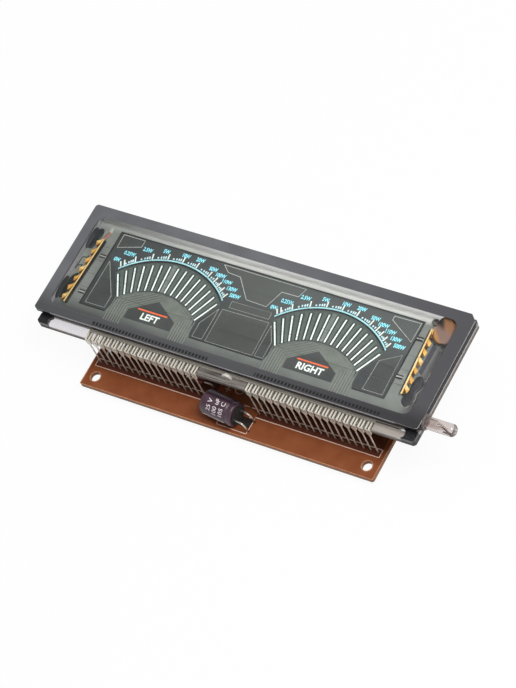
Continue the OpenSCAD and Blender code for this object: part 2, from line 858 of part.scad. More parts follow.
// Pair of leads from a body's ends, bent down to the board
module axial_leads(spot, len, d) {
    bend = 1;
    height = board_top + axial_lift + d / 2;
    at_spot(spot, d)
    for (side = [0, 180]) rotate([0, 0, side]) {
        bar_x(axial_lead_d, len / 2, axial_span / 2 - bend);
        translate([axial_span / 2 - bend, 0, -bend]) rotate([90, 0, 0])
            rotate_extrude(angle = 90) translate([bend, 0]) circle(d = axial_lead_d);
        translate([axial_span / 2, 0, -height - axial_tip])
            cylinder(d = axial_lead_d, h = height + axial_tip - bend);
    }
}

module diode_body() {
    color("orangered")
    at_spot(diode_spot, diode_d) bar_x(diode_d, -diode_len / 2, diode_len / 2);
}

module diode_leads() {
    color("gainsboro") axial_leads(diode_spot, diode_len, diode_d);
}

// Film resistor: a slim barrel with a cap swelling at each end
module resistor_bodies() {
    end_len = 1.6;
    waist = 0.25;
    color("steelblue")
    for (spot = resistor_spots) at_spot(spot, resistor_d) {
        bar_x(resistor_d - 2 * waist, -resistor_len / 2, resistor_len / 2);
        bar_x(resistor_d, -resistor_len / 2, end_len - resistor_len / 2);
        bar_x(resistor_d, resistor_len / 2 - end_len, resistor_len / 2);
    }
}

module resistor_leads() {
    color("gainsboro")
    for (spot = resistor_spots) axial_leads(spot, resistor_len, resistor_d);
}

// Open-topped shell of the input socket, with two polarising slots in its back wall
module input_socket() {
    slot_w = 1.4;
    floor_h = 1.5;
    color("ivory")
    translate([0, socket_y, board_top])
    difference() {
        translate([-socket_len / 2, -socket_wid / 2, 0]) cube([socket_len, socket_wid, socket_h]);
        translate([socket_wall - socket_len / 2, socket_wall - socket_wid / 2, floor_h])
            cube([socket_len - 2 * socket_wall, socket_wid - 2 * socket_wall, socket_h]);
        for (side = [-1, 1]) translate([side * socket_len / 4 - slot_w / 2, 0, floor_h])
            cube([slot_w, socket_wid, socket_h]);
        for (x = socket_x) translate([x, 0, 0])
            cube([pin_w + 2 * clear, pin_w + 2 * clear, 3 * floor_h], center = true);
    }
}

module socket_contacts() {
    pin_top = 5;
    color("silver")
    for (x = socket_x)
        translate([x - pin_w / 2, socket_y - pin_w / 2, -tip_out])
            cube([pin_w, pin_w, tip_out + board_top + pin_top]);
}

// Gull-wing pin seen from the side, drawn down from the board
module gull_pin(w) {
    mid = chip_lift + chip_thick / 2;
    foot = pin_reach / 2;
    translate([0, w / 2, 0]) rotate([90, 0, 0]) linear_extrude(w)
        polygon([[0, -mid - chip_pin_t / 2], [foot, -mid - chip_pin_t / 2],
            [foot + chip_pin_t, -chip_pin_t], [pin_reach, -chip_pin_t], [pin_reach, 0], [foot, 0],
            [foot - chip_pin_t, -mid + chip_pin_t / 2], [0, -mid + chip_pin_t / 2]]);
}

// Chip body hanging under the board
module chip_body(spot, len, wid) {
    translate([spot.x - len / 2, spot.y - wid / 2, -chip_lift - chip_thick])
        cube([len, wid, chip_thick]);
}

// Row of pins along one side of a chip, pointing along the turn
module pin_row(spot, reach, count, pitch, turn) {
    translate([spot.x, spot.y, 0]) rotate([0, 0, turn])
    for (i = [0 : count - 1])
        translate([reach, (i - (count - 1) / 2) * pitch, 0]) gull_pin(pitch * 0.45);
}

module driver_chip() {
    color("black") chip_body(driver_spot, driver_w, driver_w);
}

module driver_pins_row() {
    color("silver")
    for (turn = [0 : 90 : 270]) pin_row(driver_spot, driver_w / 2, driver_pins, driver_pitch, turn);
}

module controller_chip() {
    color("black") chip_body(controller_spot, controller_len, controller_w);
}

module controller_pins_row() {
    color("silver")
    for (turn = [90, 270])
        pin_row(controller_spot, controller_w / 2, controller_pins, controller_pitch, turn);
}

module chip_resistors() {
    color("black")
    for (spot = smd_spots)
        translate([spot.x - smd_len / 2 + smd_end, spot.y - smd_w / 2, -smd_h])
            cube([smd_len - 2 * smd_end, smd_w, smd_h]);
}

module chip_resistor_ends() {
    color("silver")
    for (spot = smd_spots, side = [-1, 1])
        translate([spot.x + side * (smd_len - smd_end) / 2 - smd_end / 2, spot.y - smd_w / 2, -smd_h])
            cube([smd_end, smd_w, smd_h]);
}

circuit_board();
rear_glass();
front_side_wall();
back_side_wall();
left_side_wall();
right_side_wall();
lower_frit_seal();
upper_frit_seal();
cover_glass();
mask_print();
exhaust_tube();
exhaust_sleeve();
ledge_end_pads();
ledge_bead();
base_print();
dark_panel();
wiring_fields();
blank_shields();
left_meter_bars();
right_meter_bars();
left_scale();
right_scale();
left_filament_support();
right_filament_support();
filament_wires();
grid_tabs();
paste_pads();
getter_cup();
left_lead_bank();
right_lead_bank();
lead_solder();
capacitor_can();
capacitor_bung();
capacitor_leads();
diode_body();
diode_leads();
resistor_bodies();
resistor_leads();
input_socket();
socket_contacts();
driver_chip();
driver_pins_row();
controller_chip();
controller_pins_row();
chip_resistors();
chip_resistor_ends();
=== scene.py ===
from math import copysign, cos, pi, radians, sin, sqrt, tau

import bmesh
import bpy
from mathutils import Matrix, Vector


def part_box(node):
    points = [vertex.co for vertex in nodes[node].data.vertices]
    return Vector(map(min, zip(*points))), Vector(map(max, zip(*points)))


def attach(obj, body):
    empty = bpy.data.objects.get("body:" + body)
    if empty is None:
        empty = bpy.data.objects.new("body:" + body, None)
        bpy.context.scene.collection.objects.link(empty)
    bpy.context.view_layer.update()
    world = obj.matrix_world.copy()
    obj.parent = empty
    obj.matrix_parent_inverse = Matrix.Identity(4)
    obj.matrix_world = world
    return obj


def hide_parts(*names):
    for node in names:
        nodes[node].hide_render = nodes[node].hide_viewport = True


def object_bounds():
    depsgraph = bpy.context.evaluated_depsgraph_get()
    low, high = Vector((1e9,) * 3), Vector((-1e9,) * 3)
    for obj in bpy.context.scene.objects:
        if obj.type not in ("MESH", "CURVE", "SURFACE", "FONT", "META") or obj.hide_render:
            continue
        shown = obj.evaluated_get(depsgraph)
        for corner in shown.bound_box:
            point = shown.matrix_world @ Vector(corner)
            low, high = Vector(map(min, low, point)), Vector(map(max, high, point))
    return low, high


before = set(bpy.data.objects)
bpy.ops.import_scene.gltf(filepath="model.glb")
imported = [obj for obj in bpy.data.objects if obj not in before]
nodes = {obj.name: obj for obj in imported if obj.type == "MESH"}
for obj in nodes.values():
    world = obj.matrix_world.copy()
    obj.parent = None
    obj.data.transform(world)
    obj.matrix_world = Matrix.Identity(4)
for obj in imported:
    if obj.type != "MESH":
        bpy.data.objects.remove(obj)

cad_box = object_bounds()
mm = 0.001

# Circuit board: a single-sided phenolic paper laminate, punched to size. The resin soaked
# paper gives a brown, faintly fibrous satin face, darkened along the lead row by flux stain and
# by painted shade of the display above it. The punched edge is duller, and the copper side is
# flooded with green solder resist.


def linear(code):
    """Linear colour of an sRGB hex value."""
    parts = [int(code[i:i + 2], 16) / 255 for i in (1, 3, 5)]
    return [p / 12.92 if p <= 0.04045 else ((p + 0.055) / 1.055) ** 2.4 for p in parts] + [1.0]


def add(tree, kind, inputs=None, **settings):
    """Adds a node with its settings. An input is set, or linked if it is given a node or a socket."""
    family = "" if kind.startswith("NodeGroup") else tree.bl_idname.removesuffix("Tree")
    made = tree.nodes.new(family + kind)
    for key, value in settings.items():
        setattr(made, key, value)
    for key, value in (inputs or {}).items():
        if isinstance(value, bpy.types.Node):
            value = next(out for out in value.outputs if out.enabled)
        if isinstance(value, bpy.types.NodeSocket):
            tree.links.new(value, made.inputs[key])
        else:
            made.inputs[key].default_value = value
    return made


def blank(name):
    """New material with an empty node tree."""
    finish = bpy.data.materials.new(name)
    finish.use_nodes = True
    finish.node_tree.nodes.clear()
    return finish, finish.node_tree


def mottled(name, dark, light, grain, rough, metallic=0.0, relief=0.0, stretch=(1, 1, 1)):
    """Opaque finish whose colour and gloss drift between two ends over grains of a real size in mm."""
    finish, tree = blank(name)
    drawn = add(tree, "Mapping", {"Vector": add(tree, "TexCoord").outputs["Object"], "Scale": stretch})
    noise = add(tree, "TexNoise", {"Vector": drawn, "Scale": 1 / (grain * mm), "Detail": 4.0}, name="grain")
    drift = add(tree, "MapRange", {"Value": noise, "From Min": 0.3, "From Max": 0.7})
    tint = add(tree, "Mix", {0: drift, 6: linear(dark), 7: linear(light)}, data_type="RGBA")
    gloss = add(tree, "MapRange", {"Value": noise, "To Min": rough[0], "To Max": rough[1]})
    surface = add(tree, "BsdfPrincipled",
                  {"Base Color": tint, "Roughness": gloss, "Metallic": metallic}, name="surface")
    if relief:
        bump = add(tree, "Bump", {"Height": noise, "Distance": relief * mm})
        tree.links.new(bump.outputs[0], surface.inputs["Normal"])
    add(tree, "OutputMaterial", {"Surface": surface})
    return finish


def share_of(finish, *limits):
    """Share of a finish that all limits leave. A limit names an axis of place, in mm, or of facing,
    with where the share starts and where it is full, and its values there if they aren't 0 and 1."""
    tree = finish.node_tree
    whole = 1.0
    for axis, start, end, *values in limits:
        low, high = values or (0.0, 1.0)
        facing = axis.startswith("facing")
        kind, socket, unit = ("NewGeometry", "Normal", 1) if facing else ("TexCoord", "Object", mm)
        place = add(tree, "SeparateXYZ", {0: add(tree, kind).outputs[socket]}).outputs[axis[-1]]
        share = add(tree, "MapRange", {"Value": place, "From Min": start * unit, "From Max": end * unit,
                                       "To Min": low, "To Max": high})
        whole = add(tree, "Math", {0: share, 1: whole}, operation="MULTIPLY")
    return whole


# Width in mm over which a sharp limit turns from none to whole.
sharp = 0.01


def within(axis, low, high, full=1.0):
    """Two sharp limits that leave what lies between two places on an axis."""
    return (axis, low, low + sharp), (axis, high, high - sharp, 0.0, full)


def blended(finish, colour, *limits):
    """Mixes a colour into a finish within limits, or by one share, on top of what it has so far."""
    tree = finish.node_tree
    share = limits[0] if isinstance(limits[0], bpy.types.Node) else share_of(finish, *limits)
    ground = tree.nodes["surface"].inputs["Base Color"]
    below = ground.links[0].from_socket
    mixed = add(tree, "Mix", {0: share, 6: below, 7: linear(colour)}, data_type="RGBA")
    tree.links.new(mixed.outputs[2], ground)


def dress(finish, *names):
    """Gives CAD nodes their finish."""
    for node in names:
        nodes[node].data.materials.clear()
        nodes[node].data.materials.append(finish)


laminate = mottled("phenolic paper laminate", "#783d1d", "#844928", 4.5, (0.4, 0.58), relief=0.02)
laminate.node_tree.nodes["surface"].inputs["Specular IOR Level"].default_value = 0.25
row_front, row_back, row_start, row_end = -15.2, -12.4, 8.5, 53.3
flux_shade_deep, flux_shade_share = 8, 0.8
# Flux stain and painted shade of the display: a dark band from the lead row back under the glass.
flux_and_shade = within("Y", row_front, row_front + flux_shade_deep)
for left, right in ((-row_end, -row_start), (row_start, row_end)):
    blended(laminate, "#451b11", *flux_and_shade, *within("X", left, right, flux_shade_share))
blended(laminate, "#8f5f40", *within("facing Z", -0.5, 0.5))
blended(laminate, "#2f5a35", ("facing Z", -0.5, -0.5 - sharp))
dress(laminate, "circuit_board")
board_low, board_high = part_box("circuit_board")

# Board legend and burr: white ink is screened on the bare side to frame the lead row and
# outline the parts. A thin pale line round the board's edge and its four holes is the punch's
# burr of torn fibre and a painted highlight on those edges.
scene = bpy.context.scene


def new_piece(name, mesh, finish, stands_for=()):
    """Links a mesh as a piece on the one body, with its finish and what it stands for."""
    mesh.name = name
    if finish.name not in mesh.materials:
        mesh.materials.append(finish)
    made = bpy.data.objects.new(name, mesh)
    scene.collection.objects.link(made)
    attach(made, "root")
    if stands_for:
        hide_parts(*stands_for)
    return made


def growth_tree(name, **inputs):
    """Geometry nodes that take a mesh, a finish and named inputs, each given with its kind."""
    tree = bpy.data.node_groups.new(name, "GeometryNodeTree")
    for label, kind in {"Geometry": "Geometry", "Finish": "Material", **inputs}.items():
        tree.interface.new_socket(label, in_out="INPUT", socket_type="NodeSocket" + kind)
    tree.interface.new_socket("Geometry", in_out="OUTPUT", socket_type="NodeSocketGeometry")
    return tree, add(tree, "NodeGroupInput").outputs


def end_tree(tree, given, form):
    """Turns what a tree has grown into plain geometry with its finish, and hands it out."""
    real = add(tree, "RealizeInstances", {0: form})
    dressed = add(tree, "SetMaterial", {"Geometry": real, "Material": given["Finish"]})
    add(tree, "NodeGroupOutput", {0: dressed})


# A flat bar swept along every edge path of a mesh.
flat_line, given = growth_tree("flat line", Width="Float", Height="Float")
path = add(flat_line, "MeshToCurve", {"Mesh": given["Geometry"]})
level = add(flat_line, "SetCurveNormal", {"Curve": path}, mode="Z_UP")
section = add(flat_line, "CurvePrimitiveQuadrilateral", {key: given[key] for key in ("Width", "Height")})
swept = add(flat_line, "CurveToMesh", {"Curve": level, "Profile Curve": section, "Fill Caps": True})
end_tree(flat_line, given, swept)


def grown(points, edges, tree, values):
    """Plain mesh of what a tree grows on points and edges; values are set by socket identifier."""
    base = bpy.data.meshes.new("paths")
    base.from_pydata(points, edges, [])
    carrier = bpy.data.objects.new("carrier", base)
    scene.collection.objects.link(carrier)
    growth = carrier.modifiers.new("growth", "NODES")
    growth.node_group = tree
    sockets = {s.name: s.identifier for s in tree.interface.items_tree if s.in_out == "INPUT"}
    for label, value in values.items():
        growth[sockets[label]] = value
    mesh = bpy.data.meshes.new_from_object(carrier.evaluated_get(bpy.context.evaluated_depsgraph_get()))
    carrier.modifiers.remove(growth)
    bpy.data.objects.remove(carrier)
    bpy.data.meshes.remove(base)
    return mesh


# Thickness in mm of what is printed or laid on thin.
film = 0.012


def lines(name, paths, finish, width, height=film):
    """Printed or etched lines: each path is a list of points in metres along the line's middle."""
    points = []
    edges = []
    for path in paths:
        edges += [(len(points) + i, len(points) + i + 1) for i in range(len(path) - 1)]
        points += path
    values = {"Width": width * mm, "Height": height * mm, "Finish": finish}
    return new_piece(name, grown(points, edges, flat_line, values), finish)


def at(z, *points):
    """Points given as millimetres in plan, at a height in metres."""
    return [Vector((x * mm, y * mm, z)) for x, y in points]


def arc(z, x, y, radius, start=0.0, sweep=tau, steps=32):
    """Points in plan round a centre."""
    angles = [start + sweep * i / steps for i in range(steps + 1)]
    return at(z, *[(x + radius * cos(a), y + radius * sin(a)) for a in angles])


def oblong(left, right, front, back):
    """Corners of an oblong in plan."""
    return [(left, front), (right, front), (right, back), (left, back)]


# Ink that lets some of the brown through, and torn fibre with a painted edge highlight: both pale, dry and
# matte.
ink = mottled("white screen ink", "#cfa793", "#ecd3c4", 0.4, (0.6, 0.8))
burr_and_highlight = mottled("torn fibre and painted highlight", "#a9714f", "#cf9872", 0.5, (0.5, 0.7))
ink_height, rim_in = 0.02, 0.16
ink_z = board_high.z + ink_height / 2 * mm
rim_x, rim_y = board_high.x / mm - rim_in, board_high.y / mm - rim_in
hole_x, hole_y, hole_r = 51.0, 19.0, 1.7
# Rim lines round the edge and the holes: burr and a painted edge highlight.
rim = oblong(-rim_x, rim_x, -rim_y, rim_y)
rims = [at(ink_z, *rim, rim[0])]
rims += [arc(ink_z, x, y, hole_r + rim_in) for x in (-hole_x, hole_x) for y in (-hole_y, hole_y)]
lines("board_burr", rims, burr_and_highlight, width=0.24, height=ink_height)

lead_pitch, dash_half = 2.54, 0.36
lead_steps = [i - 20.5 for i in range(42)]
legend = [
    at(ink_z, (-row_end, row_back), (-row_end, row_front), (-8.6, row_front)),
    at(ink_z, (8.4, row_front), (row_end, row_front), (row_end, row_back)),
    at(ink_z, (-3.0, -20.4), (-2.8, -21.4), (8.3, -21.6), (8.5, -15.9), (6.4, -15.9)),
    at(ink_z, (-6.5, -8.9), (-4.5, -8.9)),
    at(ink_z, (-5.5, -9.9), (-5.5, -7.9)),
    arc(ink_z, -1.4, -7.6, 1.7, pi, pi, 12),
]
legend += [at(ink_z, *[((s + way * dash_half) * lead_pitch, row_back) for way in (-1, 1)])
           for s in lead_steps if s < -3 or s > 1]
lines("board_legend", legend, ink, width=0.32, height=ink_height)

# Copper tracks: etched foil under the resist on the lower side. Each runs back from its
# lead's pad, turns along the board and drops to a pin of the chip on its half.
track_height, track_pitch, pin_gap, bus_gap = 0.035, 0.6, 1.0, 1.2
track_z = board_low.z - track_height / 2 * mm
lead_y = -13.5


def centre(node):
    """Middle of a CAD node's box in metres."""
    low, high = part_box(node)
    return (low + high) / 2


def track_fan(lead_xs, node, pins, first_row):
    """Nested tracks from leads to pins placed from a chip's middle; each turns a row ahead of the last."""
    middle, front = centre(node).x / mm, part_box(node)[0].y / mm - pin_gap
    paths = []
    for k, (lead_x, pin) in enumerate(zip(lead_xs, pins)):
        turn, pin_x = first_row - k * track_pitch, middle + pin
        paths.append(at(track_z, (lead_x, lead_y), (lead_x, turn), (pin_x, turn), (pin_x, front)))
    return paths


left_xs = [s * lead_pitch for s in lead_steps[1:12]]
right_xs = [s * lead_pitch for s in reversed(lead_steps[30:41])]
driver_pins = [(j - 5) * 0.8 for j in range(11)]
controller_pins = [(4.5 - j) * 1.27 for j in range(10)]
tracks = track_fan(left_xs, "driver_chip", driver_pins, first_row=-4.5)
tracks += track_fan(right_xs, "controller_chip", controller_pins, first_row=-3.5)
bus_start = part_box("driver_chip")[1].x / mm + bus_gap
bus_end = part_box("controller_chip")[0].x / mm - bus_gap
tracks += [at(track_z, (bus_start, y), (bus_end, y)) for y in (1.5, 2.8, 4.1, 5.4)]
contact_y, contact_pitch, spread_pitch = centre("socket_contacts").y / mm, 2.5, 4.2
spread_y, spread_end = 12, 6.5
for i in (-2, -1, 0, 1, 2):
    near, far, turn = i * contact_pitch, i * spread_pitch, spread_y + abs(i)
    tracks.append(at(track_z, (near, contact_y), (near, turn), (far, turn), (far, spread_end)))
# Resist over foil: a brighter, glossier green than over bare laminate.
resist_copper = mottled("resist over copper foil", "#3f7a45", "#4f8d52", 1.5, (0.25, 0.4))
lines("copper_tracks", tracks, resist_copper, width=0.4, height=track_height)

# Chips on the copper side: moulded black epoxy with a parting line chamfer and a pin-one
# dimple, on tinned gull-wing pins that are soldered flat to the foil.


def loose_mesh(form, turn_out=True):
    """Mesh of a finished form, with its faces turned outwards unless they already are."""
    if turn_out:
        bmesh.ops.recalc_face_normals(form, faces=form.faces)
    mesh = bpy.data.meshes.new("form")
    form.to_mesh(mesh)
    form.free()
    return mesh


def skin(form, rings, smooth=False):
    """Joins rings of corners in order and closes both ends."""
    for lower, upper in zip(rings, rings[1:]):
        for i in range(len(lower)):
            form.faces.new((lower[i - 1], lower[i], upper[i], upper[i - 1])).smooth = smooth
    form.faces.new(reversed(rings[0]))
    form.faces.new(rings[-1]).smooth = smooth


def chip(name, node):
    """Moulded chip body: a block drawn in to both faces, with a shallow round mark by pin one."""
    draft, parting, mark_in, mark_r = 0.12 * mm, 0.05 * mm, 1.4 * mm, 0.5 * mm
    low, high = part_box(node)
    middle = (low.z + high.z) / 2
    form = bmesh.new()
    rings = []
    for z, inset in ((low.z, draft), (middle - parting, 0), (middle + parting, 0), (high.z, draft)):
        corners = oblong(low.x + inset, high.x - inset, low.y + inset, high.y - inset)
        rings.append([form.verts.new((x, y, z)) for x, y in corners])
    skin(form, rings)
    spot = Matrix.Translation((low.x + mark_in, low.y + mark_in, low.z))
    bmesh.ops.create_cone(form, cap_ends=True, segments=20, radius1=mark_r, radius2=mark_r,
                          depth=0.01 * mm, matrix=spot)
    new_piece(name, loose_mesh(form), epoxy, [node])


# Epoxy reads as dull black with a fine grain, tin as a soft grey metal, glaze as a blue black.
epoxy = mottled("moulded black epoxy", "#131313", "#222222", 0.25, (0.5, 0.7), relief=0.01)
tinned = mottled("tinned copper wire", "#a39d95", "#d8d2c9", 0.6, (0.22, 0.4), metallic=1.0)
dress(mottled("glazed resistor ceramic", "#16171a", "#24262b", 0.5, (0.3, 0.5)), "chip_resistors")
chip("driver_body", "driver_chip")
chip("controller_body", "controller_chip")
dress(tinned, "driver_pins_row", "controller_pins_row", "chip_resistor_ends", "socket_contacts")

# Axial parts on the bare side: a small glass diode and lacquered film resistors. Each body
# is a turned form with rounded ends on tinned wires that are bent down into the board.


def turned(profile, place, segments=32):
    """Solid of revolution: a profile of (radius, along) in mm, turned about X and then placed."""
    form = bmesh.new()
    points = [form.verts.new((along * mm, radius * mm, 0)) for radius, along in profile]
    edges = [form.edges.new(pair) for pair in zip(points, points[1:])]
    bmesh.ops.spin(form, geom=points + edges, cent=(0, 0, 0), axis=(1, 0, 0), angle=tau,
                   steps=segments, use_duplicate=False)
    bmesh.ops.remove_doubles(form, verts=form.verts, dist=1e-6)
    bmesh.ops.transform(form, matrix=place, verts=form.verts)
    for face in form.faces:
        face.smooth = True
    return loose_mesh(form)


def quarter(radius, corner, end, way):
    """Rounded corner of a turned profile at one end; way is -1 for the left end."""
    sweep = [radians(15 * i) for i in range(7)][::-way]
    return [(radius - corner + corner * sin(a), end - way * corner * (1 - cos(a))) for a in sweep]


diode_low, diode_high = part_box("diode_body")
diode_place = Matrix.Translation(centre("diode_body"))
diode_half, diode_r = (diode_high.x - diode_low.x) / 2 / mm, (diode_high.y - diode_low.y) / 2 / mm
bead_round, band_r = 0.6, diode_r + 0.02
diode_form = [(0, -diode_half)] + quarter(diode_r, bead_round, -diode_half, -1)
diode_form += quarter(diode_r, bead_round, diode_half, 1) + [(0, diode_half)]
diode_band = [(band_r, along - diode_half) for along in (0.7, 1.3)]
# Diode glass is a glossy red bead; enamel bands are smooth and fairly glossy.
diode_glass = mottled("red diode glass", "#6e1f14", "#8c3322", 0.8, (0.08, 0.15))
band_black = mottled("black band enamel", "#141414", "#262422", 0.5, (0.3, 0.45))
new_piece("diode_bead", turned(diode_form, diode_place), diode_glass, ["diode_body"])
new_piece("diode_band", turned(diode_band, diode_place), band_black)
# Lacquer is a pale, slightly uneven blue gloss over the ceramic rod and its end caps.
lacquer = mottled("blue resistor lacquer", "#2f5f8c", "#4d7fae", 0.7, (0.25, 0.4), relief=0.01)
resistor_places = [(-50.6, -5.8, 90), (-45.5, -5.8, 90), (43.0, 1.5, 0), (29.0, 1.5, 0)]
resistor_z = centre("resistor_bodies").z
half_form = [(0, -3.15), (0.9, -3.15), (1.12, -2.9), (1.15, -2.4), (1.05, -1.7), (0.92, -1.2)]
resistor_form = half_form + [(radius, -along) for radius, along in reversed(half_form)]
bands = {"brown": ("#40200f", "#553018", -2.4, 1.17), "black": ("#101010", "#1c1c1c", -0.9, 0.95),
         "red": ("#7e1813", "#9c2a20", 0.2, 0.95), "gold": ("#8d6a2a", "#b08a44", 2.4, 1.17)}
enamels = {n: mottled(n + " band enamel", *band[:2], 0.5, (0.3, 0.45)) for n, band in bands.items()}
band_half = 0.25
for i, (x, y, turn) in enumerate(resistor_places):
    place = Matrix.Translation((x * mm, y * mm, resistor_z)) @ Matrix.Rotation(radians(turn), 4, "Z")
    name = f"resistor_{i}"
    body = turned(resistor_form, place)
    new_piece(name, body, lacquer, ["resistor_bodies"] if i == 0 else [])
    for colour, (_, _, along, radius) in bands.items():
        hoop = turned([(radius, along - band_half), (radius, along + band_half)], place)
        new_piece(f"{name}_{colour}", hoop, enamels[colour])
dress(tinned, "diode_leads", "resistor_leads", "capacitor_leads")

# Electrolytic capacitor: a drawn aluminium can in a shrunk plastic sleeve, rolled in at a
# groove over a rubber bung. The sleeve carries its rating in plain numbers and a pale stripe.
can_place = Matrix.Translation(centre("capacitor_can")) @ Matrix.Rotation(radians(-7), 4, "Z")
can_r, can_half, shoulder, print_r = 4.1, 6.2, 0.7, 4.12
base_in, roll_in, bung_in, bung_deep = 1.1, 1.0, 1.05, 0.45
groove = [(0, 3.5), (0.1, 3.75), (0.33, 4.1), (0.35, 4.3), (0.1, 4.65), (0, 4.9)]
sleeve_form = [(0, -can_half), (can_r - base_in, -can_half)] + quarter(can_r, shoulder, -can_half, -1)
sleeve_form += [(can_r - deep, along) for deep, along in groove] + quarter(can_r, shoulder, can_half, 1)
bung_face = can_half - bung_deep
sleeve_form += [(can_r - roll_in, can_half), (can_r - bung_in, bung_face), (0, bung_face)]
# Shrunk sleeve: a plum film with a soft gloss and slow ripples, with painted shade over its back.
# The bung is dull black rubber, and both inks are flat and dry.
sleeve = mottled("shrunk plum PVC sleeve", "#3d2833", "#4d3642", 3.0, (0.3, 0.42), relief=0.02)
# Painted shade on the side of the can that faces back, away from the light.
blended(sleeve, "#1d0e18", ("facing Y", 0.12, 0.3, 0.0, 0.85))
dress(mottled("butyl rubber", "#101010", "#1d1b1a", 0.4, (0.6, 0.8), relief=0.01), "capacitor_bung")
sleeve_ink = mottled("pale sleeve ink", "#c9bfc2", "#ece5e6", 0.4, (0.4, 0.6))
pole_ink_and_shade = mottled("black screen ink and painted shade", "#150c09", "#241510", 0.6, (0.55, 0.75))
new_piece("capacitor_sleeve", turned(sleeve_form, can_place, 64), sleeve,
          ["capacitor_can"])


def flat_text(body, size, thick, narrow, bold):
    """Mesh of one printed word, centred on the origin and facing up; bold is a share of its size."""
    text = bpy.data.curves.new("words", "FONT")
    text.body = body
    text.size = size * mm
    text.align_x = "CENTER"
    text.align_y = "CENTER"
    text.extrude = thick / 2 * mm
    text.resolution_u = 3
    text.offset = bold * size * mm
    holder = bpy.data.objects.new("words", text)
    scene.collection.objects.link(holder)
    mesh = bpy.data.meshes.new_from_object(holder.evaluated_get(bpy.context.evaluated_depsgraph_get()))
    mesh.transform(Matrix.Diagonal((narrow, 1, 1, 1)))
    bpy.data.objects.remove(holder)
    bpy.data.curves.remove(text)
    return mesh


def on_can(along, angle, radius):
    """Point of the can's own frame at a place along it and an angle up from its front, in mm."""
    return Vector((along, -radius * cos(angle), radius * sin(angle))) * mm


def web(form, rows, smooth=False):
    """Joins open rows of corners in order."""
    for near, far in zip(rows, rows[1:]):
        for k in range(len(near) - 1):
            form.faces.new((near[k], far[k], far[k + 1], near[k + 1])).smooth = smooth


def sheet(name, shapes, z, finish):
    """Flat printed areas that face up, each a list of plan points in mm."""
    form = bmesh.new()
    for shape in shapes:
        face = form.faces.new([form.verts.new(p) for p in at(z, *shape)])
        face.normal_update()
        if face.normal.z < 0:
            face.normal_flip()
    return new_piece(name, loose_mesh(form, turn_out=False), finish)


rating = {"capacitor_volts": ("25 V", -2.4), "capacitor_value": ("100 uF", 0.0),
          "capacitor_heat": ("105 C", 2.4)}
rating_turn = radians(58)
for name, (body, along) in rating.items():
    mesh = flat_text(body, size=2.2, thick=0.01, narrow=1.0, bold=0.012)
    for v in mesh.vertices:
        u, up, out = v.co / mm
        v.co = on_can(along - up, rating_turn + u / can_r, print_r + out)
    mesh.transform(can_place)
    new_piece(name, mesh, sleeve_ink)
stripe = bmesh.new()
stripe_turns = [radians(-14 + 1.5 * i) for i in range(9)]
stripe_ends = (-5.3, 3.3)
web(stripe, [[stripe.verts.new(on_can(x, turn, print_r)) for x in stripe_ends] for turn in stripe_turns])
bmesh.ops.transform(stripe, matrix=can_place, verts=stripe.verts)
new_piece("capacitor_stripe", loose_mesh(stripe), sleeve_ink)
# Black polarity print beside the bung, which also stands for painted shade there.
pole_block_and_shade = [(3.4, -19.5), (8.2, -19.6), (8.3, -16.1), (3.4, -16.1)]
pole_lift = 0.012
sheet("capacitor_pole_block", [pole_block_and_shade], board_high.z + pole_lift * mm, pole_ink_and_shade)

# Input socket: a shell of natural nylon, moulded round square tinned pins and soldered at the
# back edge of the board. Bare nylon is a creamy, faintly waxy white.
dress(mottled("moulded natural nylon", "#d9d3c2", "#ebe6d8", 1.5, (0.4, 0.55)), "input_socket")

# Rear glass: float glass with ground edges, which carries the whole pattern on its inner
# face and the leads on its front ledge. Handling has left it a little hazy.


def glass_finish(name, tint, rough, clear):
    """Glass that lets lamp light through to what it covers; a share under one adds a pale haze."""
    finish, tree = blank(name)
    glass = add(tree, "BsdfPrincipled",
                {"Base Color": linear(tint), "Roughness": rough, "IOR": 1.5, "Transmission Weight": clear})
    passed = add(tree, "BsdfTransparent", {"Color": linear(tint)})
    lamp = add(tree, "LightPath").outputs["Is Shadow Ray"]
    add(tree, "OutputMaterial", {"Surface": add(tree, "MixShader", {0: lamp, 1: glass, 2: passed})})
    return finish


def glass_plate(name, node, clear, upright, chamfer, width):
    """Copy of a CAD plate with its sharp edges eased by a small chamfer, and finishes for both."""
    corner_turn, upright_rise, flat_rise = radians(40), 0.3, 0.95
    form = bmesh.new()
    form.from_mesh(nodes[node].data)
    bmesh.ops.remove_doubles(form, verts=form.verts, dist=1e-6)
    bmesh.ops.dissolve_limit(form, angle_limit=radians(1), verts=form.verts, edges=form.edges)
    corners = [e for e in form.edges if len(e.link_faces) == 2 and e.calc_face_angle() > corner_turn]
    bmesh.ops.bevel(form, geom=corners, offset=width * mm, segments=1, affect="EDGES", profile=0.5,
                    clamp_overlap=True)
    plate = new_piece(name, loose_mesh(form), clear, [node])
    plate.data.materials.append(upright)
    plate.data.materials.append(chamfer)
    for face in plate.data.polygons:
        rise = abs(face.normal.z)
        face.material_index = 1 if rise < upright_rise else 2 if rise < flat_rise else 0


hazy_glass = glass_finish("handled float glass", "#e9e6ea", rough=0.0, clear=0.9)
# Ground edge: a dull grey-brown band with fine upright scratches, and a pale frosted chamfer.
# Black resin from the end pads has run down over both front corners.
ground = mottled("ground glass edge", "#4a423c", "#7a7068", 0.4, (0.45, 0.65), stretch=(1, 1, 0.1))
frosted = mottled("frosted glass chamfer", "#77726e", "#98938f", 0.5, (0.3, 0.5))
run_ends = ((-67.2, -sharp), (64.0, sharp))
run_back = -9.6
for finish in (ground, frosted):
    for end, outward in run_ends:
        blended(finish, "#252427", ("X", end, end + outward), ("Y", run_back, run_back - sharp))
glass_plate("rear_plate", "rear_glass", hazy_glass, ground, frosted, width=0.18)
rear_low, rear_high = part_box("rear_glass")
glass_low, glass_top = rear_low.z / mm, rear_high.z / mm
cover_low, cover_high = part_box("cover_glass")
